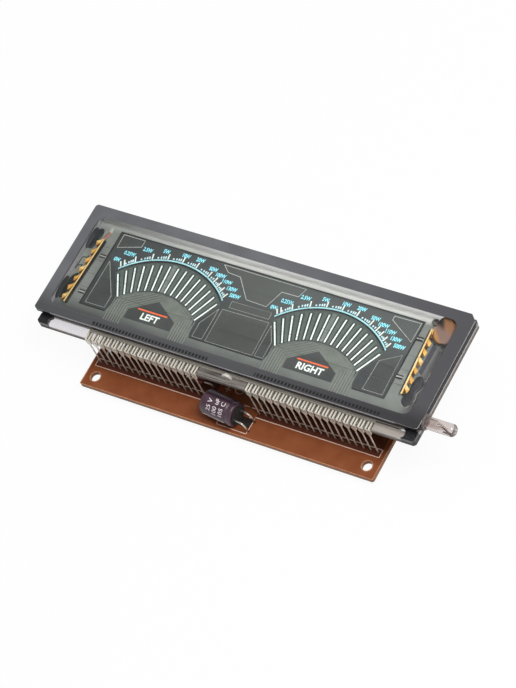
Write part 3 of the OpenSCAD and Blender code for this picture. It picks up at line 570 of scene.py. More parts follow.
# Bare ledge: a streaky olive brown film along it, whose pale streaks are painted glints of the glass, paler
# at the right end.
streaks_and_glints = mottled("streaked ledge film with painted glints", "#4f4a45", "#8b857e", 0.7, (0.2, 0.4), stretch=(0.08, 1, 1))
blended(streaks_and_glints, "#c0b7af", ("X", 40, 56, 0.0, 0.55))
ledge_in, cover_gap, ledge_lift = 0.25, 0.1, 0.006
ledge_front, ledge_back = rear_low.y / mm + ledge_in, cover_low.y / mm - cover_gap
bare = [oblong(left, right, ledge_front, ledge_back) for left, right in ((-10.1, 7.6), (53.4, 64.9))]
sheet("ledge_film", bare, rear_high.z + ledge_lift * mm, streaks_and_glints)

# Printed base: a pale insulating glass paste, screened on the rear glass and fired. It is
# darker to the front and silver along the back, where aluminium lies under it; that band is
# lightened further, with a painted glow where the mask shades it.


def lit(finish, strength, tint=None):
    """Paints a glow onto a finish by a value or a share, in one tint or in its own colours."""
    tree = finish.node_tree
    surface = tree.nodes["surface"].inputs
    if tint:
        surface["Emission Color"].default_value = linear(tint)
    else:
        tree.links.new(surface["Base Color"].links[0].from_socket, surface["Emission Color"])
    if isinstance(strength, bpy.types.Node):
        tree.links.new(strength.outputs[0], surface["Emission Strength"])
    else:
        surface["Emission Strength"].default_value = strength


# Pale paste: a smooth, dull grey green, silvery along the back, with painted light there.
base_paste = mottled("pale fired paste", "#707572", "#808580", 6.0, (0.45, 0.6))
panel_low, panel_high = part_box("dark_panel")
px0, px1, py0, py1 = panel_low.x / mm, panel_high.x / mm, panel_low.y / mm, panel_high.y / mm
silver_and_glow = [("Y", py1 - 1, py1 + 0.8), ("X", -66, -15, 0.25, 1.0)]
blended(base_paste, "#3c3f3f", ("Y", py0 + 3, py0 - 3), ("X", -60, 45, 1.0, 0.3))
blended(base_paste, "#cdcecb", *silver_and_glow)
# Painted glow, rising to the back, on the silver band in the mask's shade.
lit(base_paste, share_of(base_paste, *silver_and_glow, ("Y", py1 + 1.7, py1 + 2.9, 0.03, 0.55)), "#ffffff")
blended(base_paste, "#504e50", ("X", 59, 61.5))
dress(base_paste, "base_print")
base_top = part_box("base_print")[1].z

# Dark panel: a near black paste over the base that carries both scales, paler to the back
# right with a painted sheen of the cover glass. A black line runs round it, and it is divided
# into fields that are a shade lighter, with fine bright outlines.
dark_paste = mottled("black fired paste", "#2f3335", "#373b3d", 5.0, (0.5, 0.65))
field_paste = mottled("grey fired paste", "#333738", "#3c403f", 6.0, (0.45, 0.6))
middle_paste = mottled("pale grey fired paste", "#3b3e3d", "#444642", 6.0, (0.4, 0.55))
# Painted sheen of the cover glass lifts all three pastes towards the back right.
for paste in (dark_paste, field_paste, middle_paste):
    blended(paste, "#606564", ("Y", 4, 18), ("X", -60, 5, 0.08, 0.5))
# The border is a flat black; the outlines are thin metal, brightest at the back.
black_film = mottled("black border film", "#17191b", "#222528", 1.0, (0.4, 0.6))
line_film = mottled("thin aluminium line", "#7d827d", "#a2a7a0", 0.8, (0.35, 0.5))
blended(line_film, "#c8cac4", ("Y", 13, 18, 0.0, 0.8))
dress(dark_paste, "dark_panel")
dress(field_paste, "blank_shields")
meters = {side: centre(side + "_meter_bars").x / mm for side in ("left", "right")}
fields = [
    [(-60.2, 25.9), (-51.8, 25.9), (-51.8, 23.3), (-60.0, 20.7)],
    [(-59.7, 15.2), (-52.2, 3.3), (-52.2, -1.3), (-59.7, -1.3)],
    [(-14.4, 10.2), (-14.4, -1.7), (-18.1, -1.7), (-18.1, 3.6)],
    [(5.3, 10.0), (5.3, -1.7), (8.4, -1.7), (8.4, 4.4)],
    [(42.1, 25.6), (51.6, 25.7), (51.4, 18.6), (42.1, 24.1)],
    [(44.8, 9.4), (51.0, 13.4), (51.4, -1.4), (44.4, -1.4)],
]
middle_fields = [
    [(-21.0, 25.8), (-18.2, 23.5), (-13.5, 23.2), (-7.4, 16.1), (0.2, 15.8), (2.6, 22.3), (8.7, 22.4),
     (10.0, 25.7)],
    [(-11.6, 14.2), (3.2, 14.3), (3.3, 11.8), (-11.5, 11.7)],
    [(-13.2, 10.5), (4.1, 10.7), (4.5, -1.8), (-13.1, -1.9)],
]
film_z = panel_high.z + film * mm
sheet("panel_fields", fields, panel_high.z + film / 2 * mm, field_paste)
sheet("middle_fields", middle_fields, panel_high.z + film / 2 * mm, middle_paste)
outlines = [at(film_z, *(shape + shape[:1])) for shape in fields + middle_fields]
lines("panel_outlines", outlines, line_film, width=0.24)
border_in, field_half = 0.3, 16.2
left_in, left_out, right_in, right_out = [x + way * field_half for x in meters.values() for way in (-1, 1)]
x0, x1, y0, y1 = px0 + border_in, px1 - border_in, py0 + border_in, py1 - border_in
border = [at(film_z, (left_in, y0), (x0, y0), (x0, y1), (x1, y1), (x1, y0), (right_out, y0)),
          at(film_z, (left_out, y0), (right_in, y0))]
lines("panel_border", border, black_film, width=0.6)

# Fans: under each row of bars lies a dark grid field, hatched between the bars, with a
# black moat round every bar that keeps its light apart from the next.
fan_y = py0 - 20.2
fan_half, scale_flat, inner_flat = 29.2, 3.2, 2.2
bar_in, bar_out, bar_count = 32.6, 42.5, 15
bar_step = 2 * fan_half / (bar_count - 1)
bar_angles = [-fan_half + bar_step * i for i in range(bar_count)]
field_turn, field_in, field_out, arc_out, moat_over, hatch_over = 30.6, 0.3, 1.0, 2.0, 0.2, 0.6
hatch_shares, bright_shares, bright_start = (0.38, 0.5, 0.62), (0.3, 0.44, 0.58, 0.72), bar_angles[6]
grid_lift = 0.008


def fan_spot(middle, radius, angle, flat):
    """Plan point at a radius and angle of a fan whose ends fall below a true circle, in mm."""
    r = radius - flat * (angle / fan_half) ** 2
    return middle + r * sin(radians(angle)), fan_y + r * cos(radians(angle))


def spoke(z, middle, angle, start, end, flat=inner_flat):
    """Line of a fan from one radius to another; flat is the fall of the fan at its start."""
    return at(z, fan_spot(middle, start, angle, flat), fan_spot(middle, end, angle, scale_flat))


# Grid field: a green grey, under wires that are a shade lighter, and dead black moats. A few
# wires in the middle of each fan are paler still, a painted highlight.
grid_field = mottled("hatched grid field", "#434f4c", "#505c58", 1.5, (0.5, 0.65))
moat_film = mottled("black moat film", "#0e1615", "#192120", 0.8, (0.5, 0.65))
hatch_film = mottled("grid wire", "#5d6963", "#737f78", 0.8, (0.35, 0.5))
highlit_wire = mottled("grid wire with painted highlight", "#8f9992", "#aab4ac", 0.8, (0.3, 0.45))
sweep = [field_turn * (i / 20 - 1) for i in range(41)]
fan_shapes, moats, hatch, bright = [], [], [], []
for middle in meters.values():
    inner = [fan_spot(middle, bar_in - field_in, a, inner_flat) for a in sweep]
    outer = [fan_spot(middle, bar_out + field_out, a, scale_flat) for a in reversed(sweep)]
    fan_shapes.append(inner + outer)
    moats.append(at(film_z, *[fan_spot(middle, bar_out + arc_out, a, scale_flat) for a in sweep[1:-1]]))
    moats += [spoke(film_z, middle, a, bar_in - moat_over, bar_out + moat_over) for a in bar_angles]
    hatch += [spoke(film_z, middle, a + share * bar_step, bar_in, bar_out + hatch_over)
              for a in bar_angles[:-1] for share in hatch_shares]
    # Paler wires in the middle gap of each fan: a painted highlight.
    bright += [spoke(film_z, middle, bright_start + share * bar_step, bar_in, bar_out + hatch_over)
               for share in bright_shares]
sheet("grid_fields", fan_shapes, panel_high.z + grid_lift * mm, grid_field)
lines("bar_moats", moats, moat_film, width=1.4)
lines("grid_hatch", hatch, hatch_film, width=0.12)
lines("bright_hatch", bright, highlit_wire, width=0.12, height=1.5 * film)

# Wiring fields: thin aluminium under glass, pale olive grey. Traces bring the bars'
# connections down past the shield to the front edge; on its left they follow its roof too.
wiring_paste = mottled("thin film wiring field", "#646a64", "#737a72", 3.0, (0.4, 0.55))
# Traces are a shade paler than their field, each with a thin dark gap beside it.
trace_film = mottled("thin film trace", "#747b74", "#868d85", 0.8, (0.35, 0.5))
gap_film = mottled("dark trace gap", "#4d534f", "#595f5a", 0.8, (0.45, 0.6))
dress(wiring_paste, "wiring_fields")
shield_half, shield_side, shield_top = 8.9, 3.4, 8.9
trace_count, straight_count, trace_end, gap_shift = 7, 4, py0 - 4.5, 0.3
first_x, step_x, first_y, step_y, bar_gap = 0.7, 0.95, 0.5, 0.55, 1.2
roof = (shield_top - shield_side) / shield_half
steep = 1 + roof ** 2


def roof_run(x, y):
    """How far a trace at a place in a fan's own plan can follow the roof before it meets the bars."""
    reach = (bar_in - bar_gap) ** 2 - x ** 2 - y ** 2
    half_b = roof * y - x
    return min((sqrt(half_b ** 2 + steep * reach) - half_b) / steep, x) if reach > 0 else 0


traces = []
for middle in meters.values():
    for side in (-1, 1):
        for k in range(trace_count):
            x = shield_half + first_x + step_x * k
            y = py0 + shield_side + first_y + step_y * k
            run = roof_run(x, y - fan_y)
            trace = [(middle + side * x, trace_end), (middle + side * x, y)]
            if run > 0 and (side < 0 or k >= straight_count):
                trace.append((middle + side * (x - run), y + roof * run))
            traces.append(trace)
gaps = [at(film_z, *[(x + gap_shift, y) for x, y in trace]) for trace in traces]
lines("wiring_gaps", gaps, gap_film, width=0.2)
trace_paths = [at(film_z, *trace) for trace in traces]
lines("wiring_traces", trace_paths, trace_film, width=0.26)

# Phosphor: white bars and blue-green scales, screened over the panel. Each scale has an arc,
# white main marks, dots between them and plain numbers; each shield names its channel.


def phosphor(name, dark, light, glow):
    """Fine grained phosphor, chalky and matte, with a painted glow in its own pale colour."""
    finish = mottled(name, dark, light, 0.3, (0.7, 0.9))
    lit(finish, glow, light)
    return finish


def lettering(name, words, finish, z, size, narrow):
    """Flat printed words, each centred on its plan spot in mm, joined as one piece."""
    form = bmesh.new()
    for body, (x, y) in words.items():
        mesh = flat_text(body, size, film, narrow, bold=0.03)
        mesh.transform(Matrix.Translation((x * mm, y * mm, z)))
        form.from_mesh(mesh)
        bpy.data.meshes.remove(mesh)
    return new_piece(name, loose_mesh(form, turn_out=False), finish)


white_glow = phosphor("white phosphor", "#d9e6df", "#ecf6f0", 0.1)
cyan_glow = phosphor("blue-green phosphor", "#6fcfe2", "#93e4f2", 0.35)
arc_glow = phosphor("pale blue-green phosphor", "#86bfc9", "#abdbe2", 0.2)
dot_glow = phosphor("pale phosphor dots", "#b4d6dc", "#cfe9ec", 0.2)
orange_glow = phosphor("orange phosphor", "#d8562a", "#ee6d3a", 0.25)
glow_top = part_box("left_scale")[1].z
mark_angles = [-28, -21.5, -14, -7, 0, 7, 14.5, 18.5, 21.5, 24.5, 28]
zero_angle = -26.3
mark_in, mark_out, dot_in, dot_out = 45.0, 47.1, 45.2, 45.5
wide_shares, narrow_shares, wide_turn, dot_growth = (0.36, 0.56, 0.71, 0.84), (0.4, 0.7), 5, 0.8
numbers = {"0W": (-22.6, 16.6), "0.25W": (-19.4, 19.8), "2.5W": (-14.1, 23.0), "5W": (-7.5, 24.4),
           "10W": (-0.2, 24.9), "20W": (5.4, 24.9), "50W": (11.3, 23.1), "100W": (14.8, 21.7),
           "110W": (18.0, 20.1), "130W": (20.9, 18.2), "500W": (23.2, 16.1)}
number_shift = {"left": (0.2, -0.1), "right": (0.6, -0.3)}
bar_half, bar_y, word_y = 5.6, py0 + 4.5, py0 + 2.2
for side, middle in meters.items():
    dress(white_glow, side + "_meter_bars")
    dress(arc_glow, side + "_scale")
    shift_x, shift_y = number_shift[side]
    words = {body: (middle + x + shift_x, y + shift_y) for body, (x, y) in numbers.items()}
    lettering(side + "_numbers", words, cyan_glow, glow_top, size=2.0, narrow=0.76)
    marks = [spoke(glow_top, middle, a, mark_in, mark_out, scale_flat) for a in mark_angles + [zero_angle]]
    lines(side + "_main_marks", marks, white_glow, width=0.48)
    dots = []
    for first, second in zip(mark_angles, mark_angles[1:]):
        for share in wide_shares if second - first > wide_turn else narrow_shares:
            turn = first + (second - first) * share
            dots.append(spoke(glow_top, middle, turn, dot_in, dot_out + dot_growth * share, scale_flat))
    lines(side + "_dots", dots, dot_glow, width=0.5)
    channel = {side.upper(): (middle, word_y)}
    lettering(side + "_word", channel, white_glow, film_z, size=3.3, narrow=1.0)
    bar = [at(film_z, (middle - bar_half, bar_y), (middle + bar_half, bar_y))]
    lines(side + "_bar", bar, orange_glow, width=0.5)

# Filament supports: thin gilded strip, stamped with a row of teeth that are bent down to hold
# the wires taut, and folded to a foot that is fixed to the base with dark conductive paste.
# Gilt is a warm satin gold; the cream fold and some facets are a painted highlight, and the
# brown dips between the teeth are painted shade.
gilts = {"gilded spring strip": ("#dca03f", "#ecba62"), "gilded strip with painted highlight": ("#efc874", "#fbdf9c"),
         "shaded gilded strip": ("#4a2c0c", "#6f4717")}
gilt, highlit_gilt, dark_gilt = (mottled(name, *tones, 2.5, (0.4, 0.55), metallic=0.3)
                                for name, tones in gilts.items())
# Black film for the tab seats and fine traces, also laid as painted shadow along each strip.
seat_film_and_shadow = mottled("black seat film and painted shadow", "#1b1a1a", "#2a2725", 0.8, (0.4, 0.6))
tooth_count, fold_out, fold_drop, ridge_out, foot_out = 7, 0.5, 0.04, 0.8, 0.9
near_tip, far_tip, most_lean, seat_lift = (1.75, 0.2, 0.3), (2.2, 0.62, 0.06), 0.12, 0.008


def toothed_strip(name, node, way, trim, skew, shadow_in):
    """Strip with bent teeth in place of a CAD support; way is the side its teeth point to. Its
    far end is cut back by the trim and its near end stands out of line by the skew, in mm."""
    low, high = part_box(node)
    high.y -= trim * mm
    straight = low.x if way > 0 else high.x
    pitch = (high.y - low.y) / tooth_count
    deep = (high.z - low.z) / mm
    form = bmesh.new()

    def spot(out, y, drop):
        aside = skew * (high.y - y) / (high.y - low.y)
        return form.verts.new((straight + way * (out + aside) * mm, y, high.z - drop * mm))

    for i in range(tooth_count):
        y = low.y + i * pitch
        lean = most_lean * sin(2.4 * i)
        inner = [spot(0, y, 0), spot(0, y + pitch, 0)]
        fold = [spot(fold_out, y, fold_drop), spot(fold_out, y + pitch, fold_drop)]
        tips = [spot(out + lean, y + along * pitch, drop + lean * tilt)
                for (out, along, drop), tilt in ((near_tip, 1), (far_tip, -1 / 3))]
        ridge = spot(ridge_out, y + 0.5 * pitch, 0.0)
        # Facet tones: 1 is painted highlight, 2 is painted shade, 0 is plain gilt.
        facets = [((inner[0], fold[0], fold[1], inner[1]), 1), ((fold[0], ridge, fold[1]), 2),
                  ((fold[0], tips[0], ridge), 2), ((ridge, tips[0], tips[1]), 0),
                  ((ridge, tips[1], fold[1]), 1 if i % 3 == 0 else 0)]
        for corners, tone in facets:
            form.faces.new(corners).material_index = tone
    # The back face is painted shadow.
    back = [spot(0, low.y, 0), spot(0, high.y, 0), spot(0, high.y, deep), spot(0, low.y, deep)]
    form.faces.new(back).material_index = 3
    form.faces.new([spot(0, low.y, deep), spot(0, high.y, deep), spot(foot_out, high.y, deep),
                    spot(foot_out, low.y, deep)])
    bmesh.ops.recalc_face_normals(form, faces=form.faces)
    for face in form.faces:
        if face.normal.z < -0.01:
            face.normal_flip()
    mesh = loose_mesh(form, turn_out=False)
    new_piece(name, mesh, gilt, [node])
    for finish in (highlit_gilt, dark_gilt, seat_film_and_shadow):
        mesh.materials.append(finish)
    # A black line along the straight edge is a painted shadow on the base.
    seat = straight / mm - shadow_in
    path = at(base_top + seat_lift * mm, (seat + way * skew, low.y / mm), (seat, high.y / mm))
    lines(name + "_seat", [path], seat_film_and_shadow, width=0.4)


toothed_strip("left_toothed_strip", "left_filament_support", way=-1, trim=0.0, skew=0.9, shadow_in=-0.2)
toothed_strip("right_toothed_strip", "right_filament_support", way=1, trim=1.6, skew=1.2, shadow_in=0.95)
# Filament wire is too fine to catch the eye: a dark grey hair. The tabs are soft grey metal.
dress(mottled("oxide coated tungsten", "#3c3d3d", "#4a4b4b", 0.5, (0.5, 0.7)), "filament_wires")
dress(mottled("nickel tab", "#9da19e", "#c2c6c2", 0.5, (0.3, 0.45), metallic=0.4), "grid_tabs")
tab_low, tab_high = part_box("grid_tabs")
tab_ends = [(tab_low.x / mm, px0, (1.695, 15.995)), (px1, tab_high.x / mm, (6.095, 20.395))]
tab_half, tab_lift = 0.48, 0.01
tab_lines = [at(tab_high.z + tab_lift * mm, (start, y + aside), (end, y + aside))
             for start, end, tab_ys in tab_ends for y in tab_ys for aside in (-tab_half, tab_half)]
lines("tab_seats", tab_lines, seat_film_and_shadow, width=0.5)

# Conductive paste: brushed on by hand to join the supports to the wiring, so each pad is a
# rounded blob with a soft outline, domed and matte.


pad_tall = 0.35


def blob(name, loop, finish, stands_for):
    """Low dome on the base over a closed plan outline in mm, smoothed from a few points."""
    count = len(loop)
    smooth = []
    for i in range(count):
        a, b, c, d = (Vector(loop[(i + k) % count]) for k in (-1, 0, 1, 2))
        for t in (j / 6 for j in range(6)):
            smooth.append(0.5 * (2 * b + (c - a) * t + (2 * a - 5 * b + 4 * c - d) * t ** 2
                                 + (3 * b - a - 3 * c + d) * t ** 3))
    middle = sum(smooth, Vector((0, 0))) / len(smooth)
    form = bmesh.new()
    rings = []
    for share, lift in ((1.0, 0.0), (0.97, 0.5), (0.88, 0.8), (0.7, 0.95), (0.4, 1.0)):
        spots = [middle + (p - middle) * share for p in smooth]
        rings.append([form.verts.new(p) for p in at(base_top + lift * pad_tall * mm, *spots)])
    skin(form, rings, smooth=True)
    new_piece(name, loose_mesh(form), finish, stands_for)


# Graphite is a dull blue black; the lower left pad and its creep are nearly black.
graphite = mottled("graphite paste", "#1d2023", "#2a2d33", 0.6, (0.45, 0.65), relief=0.02)
dark_graphite = mottled("darker graphite paste", "#0e1112", "#191e1f", 0.6, (0.4, 0.6), relief=0.02)
pads = {
    "upper_left_paste": (graphite, [
        (-68.0, 25.6), (-69.9, 25.2), (-70.3, 21.6), (-70.2, 17.9), (-68.5, 17.8), (-67.6, 20.4),
        (-67.3, 23.4)]),
    "lower_left_paste": (dark_graphite, [
        (-67.8, 7.8), (-69.2, 6.8), (-69.9, 4.6), (-70.3, 1.6), (-69.6, -2.6), (-68.2, -1.6), (-67.7, 0.9),
        (-67.4, 4.5)]),
    "right_paste": (graphite, [
        (60.8, 8.3), (59.1, 8.0), (58.6, 5.5), (58.5, 3.2), (57.9, 0.4), (58.2, -1.7), (60.0, -2.8),
        (61.6, -1.3), (61.6, 0.8), (61.1, 2.5), (62.2, 5.2)]),
}
for name, (finish, loop) in pads.items():
    blob(name, loop, finish, ["paste_pads"] if name == "upper_left_paste" else [])
# Paste also creeps up the left wall beside both of its pads.
wall_gap, trace_lift, tack_lift = 0.02, 0.01, 0.3
wall_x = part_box("left_side_wall")[1].x + wall_gap * mm
creep_form = [(1.1, 0.06), (0.75, 0.42), (0.35, 1.0), (0.0, 1.85)]
creeps = {"upper_left_creep": (graphite, 17.0, 25.8), "lower_left_creep": (dark_graphite, -3.4, 5.8)}
for name, (finish, start, end) in creeps.items():
    form = bmesh.new()
    rows = []
    for share in (i / 16 for i in range(17)):
        y = (start + (end - start) * share) * mm
        swell = sin(pi * share) ** 0.4 * mm
        spots = [(wall_x + out * swell, y, base_top + up * swell) for out, up in creep_form]
        rows.append([form.verts.new(spot) for spot in spots])
    web(form, rows, smooth=True)
    new_piece(name, loose_mesh(form, turn_out=False), finish)
# Fine traces round the pads are pale metal or black; a flat blue grey band lies beside the right strip.
pale_film = mottled("pale trace film", "#9c9f97", "#b5b8ae", 0.8, (0.4, 0.6))
blue_film = mottled("blue-grey band film", "#33343c", "#41424b", 1.0, (0.4, 0.6))
trace_z = base_top + trace_lift * mm
paste_edge = [at(trace_z, (62.4, 5.2), (61.6, 2.4), (62.1, 0.4), (60.6, -3.2)),
              at(trace_z, (62.3, 10.4), (62.3, 7.4), (61.8, 7.4))]
hook = [at(trace_z, (-67.8, 14.9), (-68.1, 14.1), (-69.8, 13.9), (-69.9, 9.0)),
        at(trace_z, (-69.7, 10.5), (-68.3, 11.0), (-68.1, 9.3))]
blue_band = [(58.5, 20.8), (60.2, 19.3), (60.1, 8.8), (58.5, 9.6)]
landing = [(-66.0, 26.8), (-64.7, 27.2), (-64.6, 25.0), (-65.8, 24.6)]
lines("paste_outline", paste_edge, pale_film, width=0.16)
lines("dark_traces", hook, seat_film_and_shadow, width=0.5)
sheet("barrier_film", [blue_band], base_top + seat_lift * mm, blue_film)
sheet("support_landing", [landing], trace_z, pale_film)
# The end of the left strip is tacked down with a short copper wire, dull red from the firing.
fired_copper = mottled("fired copper wire", "#8d5d50", "#ab7a6a", 0.5, (0.35, 0.5), metallic=0.2)
tack = at(base_top + tack_lift * mm, (-65.9, 21.9), (-65.0, 24.9))
lines("strip_tack", [tack], fired_copper, width=1.0, height=0.4)

# Getter: a pressed steel cup that was flashed through the glass with a coil. It is burnt
# dark, and its metal has settled on the inside of the cover as a brown mirror.
dress(mottled("flashed getter steel", "#1c1a19", "#8a847a", 0.5, (0.3, 0.6), metallic=0.7), "getter_cup")
mirror_x, mirror_y, mirror_rx, mirror_ry, squareness, mirror_gap = 61.6, 24.9, 4.2, 4.9, 0.66, 0.01
rim_start, rim_end, raggedness = 0.98, 1.1, 0.1
# Barium film: a dark brown mirror that washes out to tan, mauve and amber, with a dark lower rim.
mirror = mottled("flashed barium film", "#140c0a", "#140c0a", 3.0, (0.4, 0.4), metallic=0.2)
tree = mirror.node_tree
shift = add(tree, "VectorMath", {0: add(tree, "TexCoord").outputs["Object"],
                                 1: (mirror_x * mm, mirror_y * mm, cover_low.z)}, operation="SUBTRACT")
scaled = add(tree, "VectorMath", {0: shift, 1: (mirror_rx * mm, mirror_ry * mm, 1.0)}, operation="DIVIDE")
washes = [((1, 0.63, 0), -0.38, -0.12, "#8c613f"), ((0.28, 1, 0), 0.1, -0.25, "#806860"),
          ((1, 1, 0), -0.9, -1.2, "#b8813a")]
for slope, start, end, colour in washes:
    across = add(tree, "VectorMath", {0: scaled, 1: slope}, operation="DOT_PRODUCT")
    blended(mirror, colour, add(tree, "MapRange", {"Value": across, "From Min": start, "From Max": end}))
radius = add(tree, "VectorMath", {0: scaled}, operation="LENGTH")
ragged = add(tree, "Math", {0: tree.nodes["grain"], 1: raggedness, 2: radius}, operation="MULTIPLY_ADD")
at_rim = add(tree, "MapRange", {"Value": ragged, "From Min": rim_start, "From Max": rim_end})
lower = share_of(mirror, ("Y", mirror_y + 0.2 * mirror_ry, mirror_y - 0.5 * mirror_ry))
blended(mirror, "#4d301c", add(tree, "Math", {0: at_rim, 1: lower}, operation="MULTIPLY"))
mirror_loop = []
for angle in (tau * i / 48 for i in range(48)):
    across, along = (copysign(abs(v) ** squareness, v) for v in (cos(angle), sin(angle)))
    mirror_loop.append((mirror_x + mirror_rx * across, mirror_y + mirror_ry * along))
sheet("getter_mirror", [mirror_loop], cover_low.z - mirror_gap * mm, mirror)

# Side walls and frit: sawn glass strips between the plates, fused on by a line of dark frit
# that has spilt in front. The left one is lightened to the mask's grey against the shade beside
# it, all have a painted glow for light through the glass, and the right one is flooded with frit
# where the tube passes.
sawn = mottled("sawn glass strip", "#77726a", "#938e85", 1.2, (0.4, 0.6), stretch=(0.2, 1, 1))
lightened_wall = mottled("left glass strip lightened to mask grey", "#6f6f73", "#7d7d81", 1.5, (0.4, 0.6))
spill = mottled("spilt olive frit", "#77726a", "#938e85", 0.8, (0.45, 0.6))
# Sawn glass is a streaky olive grey, black in the upper part that the cover's edge shades.
shade_rise, wall_glow, spill_out, spill_lift = 0.75, 0.35, 0.4, 0.06
shade_z = glass_top + shade_rise
blended(sawn, "#141316", ("Z", shade_z, shade_z + sharp))
# Painted glow on the walls and the spill, for light through the glass.
for finish in (sawn, lightened_wall, spill):
    lit(finish, wall_glow)
dress(sawn, "front_side_wall", "back_side_wall")
dress(lightened_wall, "left_side_wall")
spill_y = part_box("front_side_wall")[0].y / mm - spill_out
spill_path = at(rear_high.z + spill_lift * mm, (-53.0, spill_y), (53.4, spill_y))
lines("front_spill", [spill_path], spill, width=0.8, height=0.1)
# Frit is a dull, stony glass: black in the seals, pale or grey in the beads. Resin is glossy black.
dress(mottled("dark sealing frit", "#1d1c1c", "#333130", 0.4, (0.5, 0.7)),
      "lower_frit_seal", "upper_frit_seal", "right_side_wall")
dress(mottled("pale sealing frit", "#b3b0a9", "#dedcd5", 0.5, (0.35, 0.5), relief=0.05), "ledge_bead")
dress(mottled("grey sealing frit", "#55504c", "#7d7772", 0.5, (0.35, 0.5), relief=0.05), "exhaust_sleeve")
dress(mottled("black casting resin", "#171719", "#29292c", 0.6, (0.12, 0.3)), "ledge_end_pads")

# Cover glass and its mask: a clear plate sealed over the walls, with a matte grey border
# screened on its face and a row of small black register marks along the lead side. Ink covers
# its edges, with a painted highlight along their top, but for the front one, where a pale band
# of painted light lies over a black one.
# Clear glass shows what lies under it and a faint mirror of the room.
clear_glass = glass_finish("clear float glass", "#f6f6f5", rough=0.0, clear=1.0)
# Inked edge: glossy black with a painted highlight along its arris; the bare front has painted
# light from the glass, in pale bands and a painted glow.
dark_edge = mottled("inked glass edge with painted light", "#0f0f11", "#212124", 0.6, (0.2, 0.35))
dark_edge.node_tree.nodes["surface"].inputs["Specular IOR Level"].default_value = 0.1
arris_highlight_deep, bare_left, bare_right, edge_glow = 0.55, -67.4, 61.0, 0.45
edge_low, arris_highlight = cover_low.z / mm, cover_high.z / mm - arris_highlight_deep
# Painted highlight along the top of the edges.
blended(dark_edge, "#a9a6a6", ("Z", arris_highlight, arris_highlight + sharp))
bare_front_light = [("facing Y", -0.5, -0.5 - sharp), *within("X", bare_left, bare_right)]
# Pale bands and a painted glow on the bare front stand for light through the glass.
blended(dark_edge, "#77736c", *bare_front_light)
for low, high, tone in ((0.9, 1.7, "#918e92"), (0.0, 0.9, "#151417")):
    blended(dark_edge, tone, *bare_front_light, *within("Z", edge_low + low, edge_low + high))
lit(dark_edge, share_of(dark_edge, bare_front_light[0], *within("X", bare_left, bare_right, edge_glow)))
glass_plate("cover_plate", "cover_glass", clear_glass, dark_edge, frosted, width=0.25)
# Mask ink: a flat slate grey, darker to the front and to the right end.
mask_ink = mottled("matte grey screen ink", "#55565a", "#606165", 9.0, (0.45, 0.6))
to_front, to_right = ("Y", -2, -8), ("X", 0, 66)
blended(mask_ink, "#424345", to_front)
blended(mask_ink, "#434347", to_right)
blended(mask_ink, "#28272b", to_front, to_right)
mark_pitch, mark_w, mark_len, mark_back = 1.27, 0.74, 1.25, 1.0
mark_y = cover_low.y / mm + mark_back
mark_band = within("Y", mark_y - mark_len / 2, mark_y + mark_len / 2)
tree = mask_ink.node_tree
plan = add(tree, "SeparateXYZ", {0: add(tree, "TexCoord").outputs["Object"]}).outputs
step = add(tree, "Math", {0: plan["X"], 1: mark_pitch * mm}, operation="FLOORED_MODULO")
printed = add(tree, "Math", {0: step, 1: mark_w * mm}, operation="LESS_THAN")
for left, right in ((-51.0, -7.0), (10.5, 55.5)):
    zone = share_of(mask_ink, *mark_band, *within("X", left, right))
    blended(mask_ink, "#030304", add(tree, "Math", {0: printed, 1: zone}, operation="MULTIPLY"))
dress(mask_ink, "mask_print")

# Exhaust tube: drawn lead glass, melted shut once the air was pumped out. Its thick wall and
# tapering bore make it milky, with a faint warm tint.
tube_glass = glass_finish("drawn lead glass", "#d5cbc7", rough=0.03, clear=0.92)
dress(tube_glass, "exhaust_tube")
tube_middle = centre("exhaust_tube")
tube_tip = Vector((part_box("exhaust_tube")[1].x, tube_middle.y, tube_middle.z))
long_seam = [(-6.2, 0.3, 0.3), (-4.4, 0.0, 0.3), (-2.8, -0.6, 0.3), (-0.9, -1.2, 0.0)]
short_seam = [(-3.6, -1.2, 0.2), (-2.2, -1.3, 0.2), (-0.9, -1.4, 0.0)]
pip = [(-1.2, -1.25, 0.0), (-0.7, -1.4, 0.0)]
seams, pips = ([[tube_tip + Vector(p) * mm for p in path] for path in paths]
               for paths in ((long_seam, short_seam), (pip,)))
# Where the glass was pinched it reads as dark brown folds.
pinched = mottled("pinched glass seam", "#3d2c27", "#58443c", 0.4, (0.3, 0.5))
lines("tube_seam", seams, pinched, width=0.4, height=0.3)
lines("tube_pip", pips, pinched, width=0.8, height=0.6)

# Fork leads: stamped and tinned spring strip. Two tines lie on the ledge with a rolled front
# bend and a curled tip, the web folds over the edge, a tongue grips below and the wire runs
# down into the board. Each sits on a contact pad of fired metal paste.
strip_thick, seat_gap = 0.25, 0.02
web_w, tine_w, tine_apart, wire_w, tongue_w = 2.0, 0.55, 1.1, 0.44, 0.8
bend_r, curl_r, curl_y = 0.3, 0.35, 2.35
heel_rise, web_drop, web_in, neck_len = 0.4, 0.6, 0.35, 1.3
tongue = [(0, 0), (0.6, 0), (1.6, 0.01), (2.0, -0.15)]
tip_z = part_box("left_lead_bank")[0].z / mm


def ribbon(form, path, width, x):
    """Bent strip of an even thickness that follows a side path of (y, z) points in mm."""
    rings = []
    for i, (y, z) in enumerate(path):
        before = Vector(path[max(i - 1, 0)])
        after = Vector(path[min(i + 1, len(path) - 1)])
        run = (after - before).normalized()
        across = Vector((-run.y, run.x)) * strip_thick / 2
        corners = [(x + dx * width / 2, y + way * across.x, z + way * across.y)
                   for dx, way in ((-1, 1), (1, 1), (1, -1), (-1, -1))]
        rings.append([form.verts.new(Vector(corner) * mm) for corner in corners])
    skin(form, rings)


